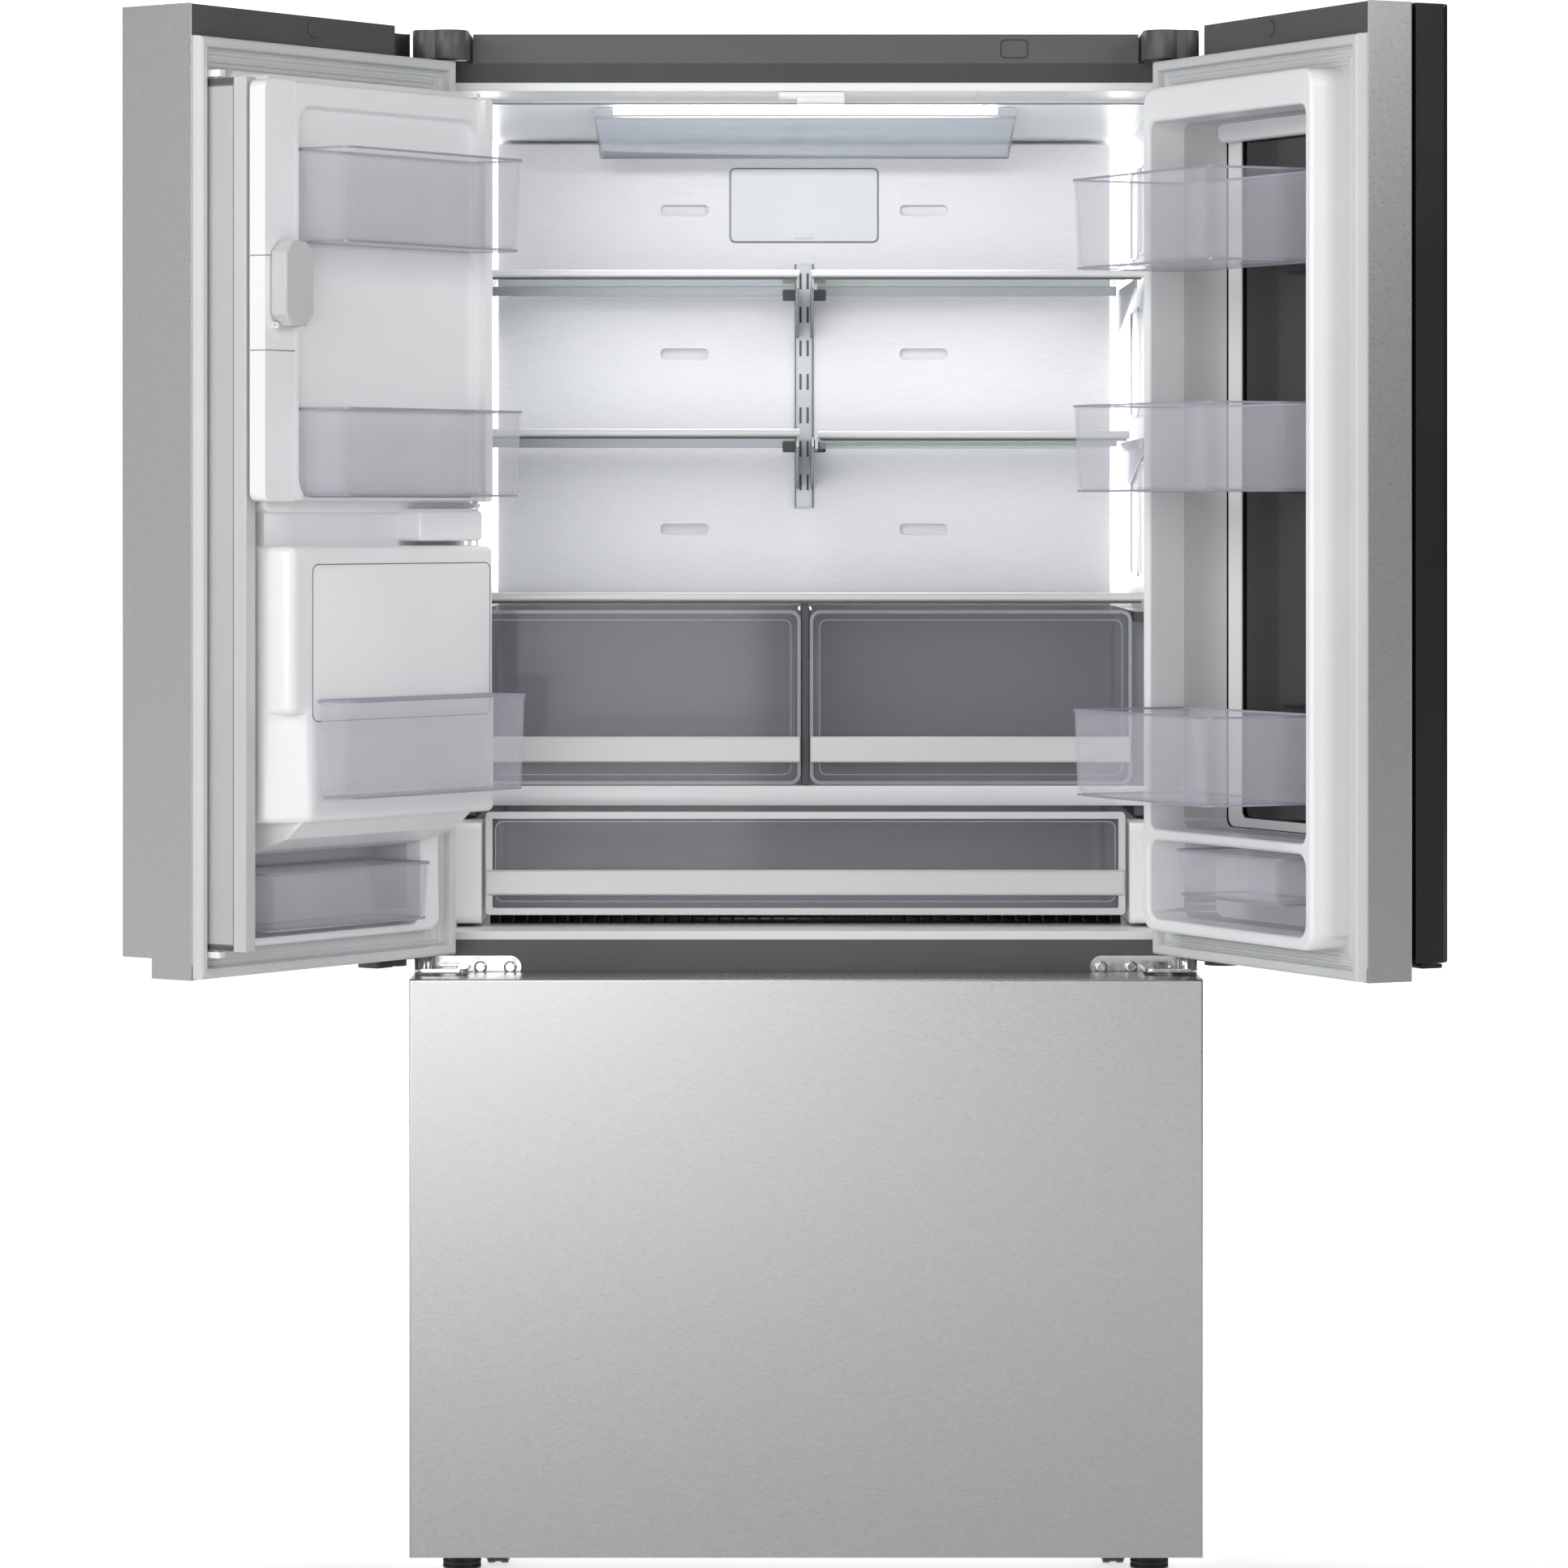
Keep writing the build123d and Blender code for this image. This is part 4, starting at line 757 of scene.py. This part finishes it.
def left_door_details():
    bm = bmesh.new()
    ring(bm, "y", (62, 371, 1000, 1172, 9), (63.1, 369.9, 1001, 1170.9, 8), 103.6, 104.35)
    piece("dispenser_hatch_seam", bm, LEFT, "left_door", SEAM_GREY_AND_SHADE)
    bm = bmesh.new()
    rows = [
        (63.4, 369.6, 1001.3, 1170.6, 8, 103.4),
        (63.4, 369.6, 1001.3, 1170.6, 8, 104.3),
        (64, 369, 1002, 1170, 7.5, 104.6),
    ]
    layered(bm, "y", rows)
    piece("dispenser_hatch", bm, LEFT, "left_door", WHITE)

    bm = bmesh.new()
    slab(bm, 379, 432.4, 89.6, 90.25, 1403, 1404)
    slab(bm, 379, 432.4, 89.6, 90.25, 1505.5, 1506.5)
    slab(bm, 432.7, 433.25, 69, 90, 1403, 1404)
    slab(bm, 432.7, 433.25, 69, 90, 1505.5, 1506.5)
    piece("ice_door_seams", bm, LEFT, "ice_compartment_door", SEAM_GREY_AND_SHADE)
    bm = bmesh.new()
    rows = []
    for rectangle, v in (
        ((59, 384, 1242.5, 1694, 6), 80.05),
        ((59, 384, 1242.5, 1694, 6), 90.4),
        ((62.4, 377.6, 1244, 1672, 22), 90.2),
        ((63, 377, 1244.4, 1671, 21), 88.6),
        ((63.4, 376.6, 1244.6, 1669.6, 20), 80.05),
    ):
        rows.append([bm.verts.new(at("y", a, b, v)) for a, b in rounded_rectangle(*rectangle, 7)])
    for low, high in zip(rows, rows[1:] + rows[:1]):
        for i in range(len(low)):
            j = (i + 1) % len(low)
            bm.faces.new((low[i], low[j], high[j], high[i]))
    piece("ice_door_dish_lip", bm, LEFT, "ice_compartment_door", WHITE)

    bm = bmesh.new()
    rows = [
        (64, 168, 52, 90, 6, 1229.8),
        (64, 168, 52, 90, 6, 1231.6),
        (67, 165, 55, 87, 5, 1232.4),
    ]
    layered(bm, "z", rows)
    for u in (84, 104, 124, 144):
        slab(bm, u, u + 2.4, 60, 91.6, 1199, 1227)
    piece("ice_chute_ribs", bm, LEFT, "left_door", WHITE, bevel=0.5)

    bm = bmesh.new()
    for step in range(13):
        u = 150 + step * 12.4
        slab(bm, u, u + 3, -90, -18, 968.2, 970.4)
    ring(bm, "z", (139, 311, -91.8, -15, 4), (142, 308, -89, -18, 3), 967.6, 970.6)
    piece("dispenser_drip_grille", bm, LEFT, "left_door", GREY)
    bm = bmesh.new()
    rows = [
        (129, 321, 1250, 1391, 6, -101.2),
        (129, 321, 1250, 1391, 6, -101.45),
        (130, 320, 1251, 1390, 5, -101.5),
    ]
    layered(bm, "y", rows)
    piece("dispenser_touch_panel", bm, LEFT, "left_door", BLACK_GLASS)
    bm = bmesh.new()
    turned(bm, "z", 225, -58, [(13, 1226), (13, 1199), (10, 1190.5), (8, 1190.5), (8, 1196)])
    turned(bm, "z", 262, -62, [(6, 1236), (6, 1216), (4, 1210), (2.5, 1210), (2.5, 1214)])
    piece("dispenser_spouts", bm, LEFT, "left_door", GREY)


def right_door_details():
    bm = bmesh.new()
    rows = [
        (61, 395, 1651, 1674.5, 8, -56.6),
        (61, 395, 1651, 1674.5, 9, -46),
        (62.5, 393.5, 1653, 1672.5, 8, -43.6),
    ]
    layered(bm, "y", rows)
    piece("window_top_bar", bm, RIGHT, "right_door", WHITE)
    bm = bmesh.new()
    ring(bm, "y", (60.5, 395.5, 868.6, 1671.4, 11), (89, 383, 879.4, 1658.6, 9), -60.9, -58.2)
    piece("window_surround", bm, RIGHT, "outer_door", WHITE, bevel=0.8)
    bm = bmesh.new()
    ring(bm, "y", (86.6, 385.4, 877, 1661, 10), (90.2, 381.8, 880.6, 1657.4, 8), -61.4, -60.2)
    piece("window_glass_seal", bm, RIGHT, "outer_door", BLACK)


def freezer_details():
    bm = bmesh.new()
    for i in range(15):
        x = -336 + 48 * i
        layered(bm, "z", [(x - 3, x + 3, 18.9, 21.2, 1, 84), (x - 3, x + 3, 18.9, 21.2, 1, 388)])
        layered(bm, "z", [(x - 3, x + 3, 380.8, 383.1, 1, 84), (x - 3, x + 3, 380.8, 383.1, 1, 388)])
    layered(bm, "x", [(22, 380, 79.2, 330, 12, -1.5), (22, 380, 79.2, 330, 12, 1.5)])
    piece("freezer_basket_ribs", bm, CAB, "freezer_drawer", LIGHT_GREY)


# ---------------------------------------------------------------- camera, light and floor
# The camera's place is in millimetres in the cabinet frame, and its lens and sensor are in millimetres.
CAMERA_BACK = 6552.8
CAMERA_X = -25.21
CAMERA_Z = 1227.43
SENSOR = 36
LENS = 129.645280
SHIFT = -0.17282091


def camera():
    data = bpy.data.cameras.new("camera")
    data.sensor_width = SENSOR
    data.lens = LENS
    data.shift_y = SHIFT
    data.clip_end = 100
    obj = bpy.data.objects.new("camera", data)
    obj.location = CAB @ Vector((CAMERA_X, -CAMERA_BACK, CAMERA_Z))
    obj.rotation_euler = (radians(90), 0, 0)
    bpy.context.scene.collection.objects.link(obj)
    bpy.context.scene.camera = obj


def area_light(name, location, target, size, power):
    data = bpy.data.lights.new(name, "AREA")
    data.shape = "RECTANGLE"
    data.size, data.size_y = size
    data.energy = power
    obj = bpy.data.objects.new(name, data)
    obj.location = location
    obj.rotation_euler = (Vector(target) - Vector(location)).to_track_quat("-Z", "Y").to_euler()
    obj.visible_camera = False
    bpy.context.scene.collection.objects.link(obj)


WORLD_LIGHT = 0.16
WORLD_SEEN = 0.9
FLOOR_BASE_GLOW = 0.09
# Powers in watts of the soft lights under the shelves, by height in millimetres.
SHELF_LIGHTS = ((1496, 1.0), (1300, 0.45), (1112, 0.9), (872, 0.8))


def studio():
    bpy.context.scene.view_settings.view_transform = "Standard"
    area_light("front_box", (-2.0, -8.6, 2.9), (0, 0, 0.9), (5.0, 2.4), 100)
    area_light("front_panel", (-1.4, -5.2, 1.15), (0, 0, 0.8), (2.8, 1.4), 40)
    area_light("left_key", (-4.2, -3.6, 3.2), (0, 0, 1.1), (2.2, 2.2), 94)
    area_light("left_strip", (-4.5, -1.3, 1.2), (0, -0.3, 1.0), (1.4, 2.4), 6.5)
    area_light("right_key", (3.7, -3.95, 3.35), (-0.3, 0, 1.2), (2.2, 2.2), 80)
    area_light("overhead", (0, -1.2, 4.8), (0, 0, 0), (4, 2.5), 15)
    area_light("inside_ceiling", CAB @ Vector((0, 60, 1690)), CAB @ Vector((0, 330, 1100)), (0.6, 0.05), 1.1)
    for level, power in SHELF_LIGHTS:
        start = CAB @ Vector((0, 300, level))
        area_light(f"inside_{level}", start, CAB @ Vector((0, 300, level - 120)), (0.7, 0.26), power)
    world = bpy.data.worlds.new("world")
    world.use_nodes = True
    tree = world.node_tree
    background = tree.nodes["Background"]
    background.inputs["Color"].default_value = (0.97, 0.985, 1.0, 1)
    rays = tree.nodes.new("ShaderNodeLightPath")
    strength = tree.nodes.new("ShaderNodeMapRange")
    strength.inputs["To Min"].default_value = WORLD_LIGHT
    strength.inputs["To Max"].default_value = WORLD_SEEN
    tree.links.new(rays.outputs["Is Camera Ray"], strength.inputs["Value"])
    tree.links.new(strength.outputs["Result"], background.inputs["Strength"])
    bpy.context.scene.world = world

    floor, tree, shader = node_material("pale_floor_with_painted_glow")
    shader.inputs["Base Color"].default_value = (0.66, 0.66, 0.66, 1)
    shader.inputs["Roughness"].default_value = 0.85
    coords = tree.nodes.new("ShaderNodeTexCoord")
    parts = tree.nodes.new("ShaderNodeSeparateXYZ")
    tree.links.new(coords.outputs["Object"], parts.inputs["Vector"])
    total = tree.nodes.new("ShaderNodeMath")
    # The floor's emission is painted light: it glows bright behind the cabinet and far in front of it, and stays
    # dim in a band just in front of the cabinet as a painted shade.
    for slot, start, end, strength in ((0, -0.4, 0.2, 0.85), (1, -2.0, -5.0, 0.62)):
        glow = tree.nodes.new("ShaderNodeMapRange")
        glow.interpolation_type = "SMOOTHSTEP"
        glow.inputs["From Min"].default_value = start
        glow.inputs["From Max"].default_value = end
        glow.inputs["To Min"].default_value = FLOOR_BASE_GLOW
        glow.inputs["To Max"].default_value = strength
        tree.links.new(parts.outputs["Y"], glow.inputs["Value"])
        tree.links.new(glow.outputs["Result"], total.inputs[slot])
    tree.links.new(total.outputs["Value"], shader.inputs["Emission Strength"])
    shader.inputs["Emission Color"].default_value = (1, 1, 1, 1)

    bm = bmesh.new()
    reach, curve, wall = 14.0, 3.0, 12.0
    profile = [(-reach, 0.0), (-0.5, 0.0), (reach - curve, 0.0)]
    bends = [radians(angle) for angle in range(15, 91, 15)]
    profile += [(reach - curve + curve * sin(t), curve - curve * cos(t)) for t in bends]
    profile.append((reach, wall))
    rows = [[bm.verts.new((x, y, z)) for y, z in profile] for x in (-reach, reach)]
    for i in range(len(profile) - 1):
        bm.faces.new((rows[0][i], rows[1][i], rows[1][i + 1], rows[0][i + 1]))
    mesh = bpy.data.meshes.new("floor")
    bm.to_mesh(mesh)
    bm.free()
    for polygon in mesh.polygons:
        polygon.use_smooth = True
    mesh.materials.append(floor)
    obj = bpy.data.objects.new("floor", mesh)
    bpy.context.scene.collection.objects.link(obj)


camera()
studio()
dress_nodes()
door_bins()
gaskets()
ceiling_details()
shelf_details()
outside_details()
door_cap_discs()
mullion_details()
left_door_details()
right_door_details()
freezer_details()
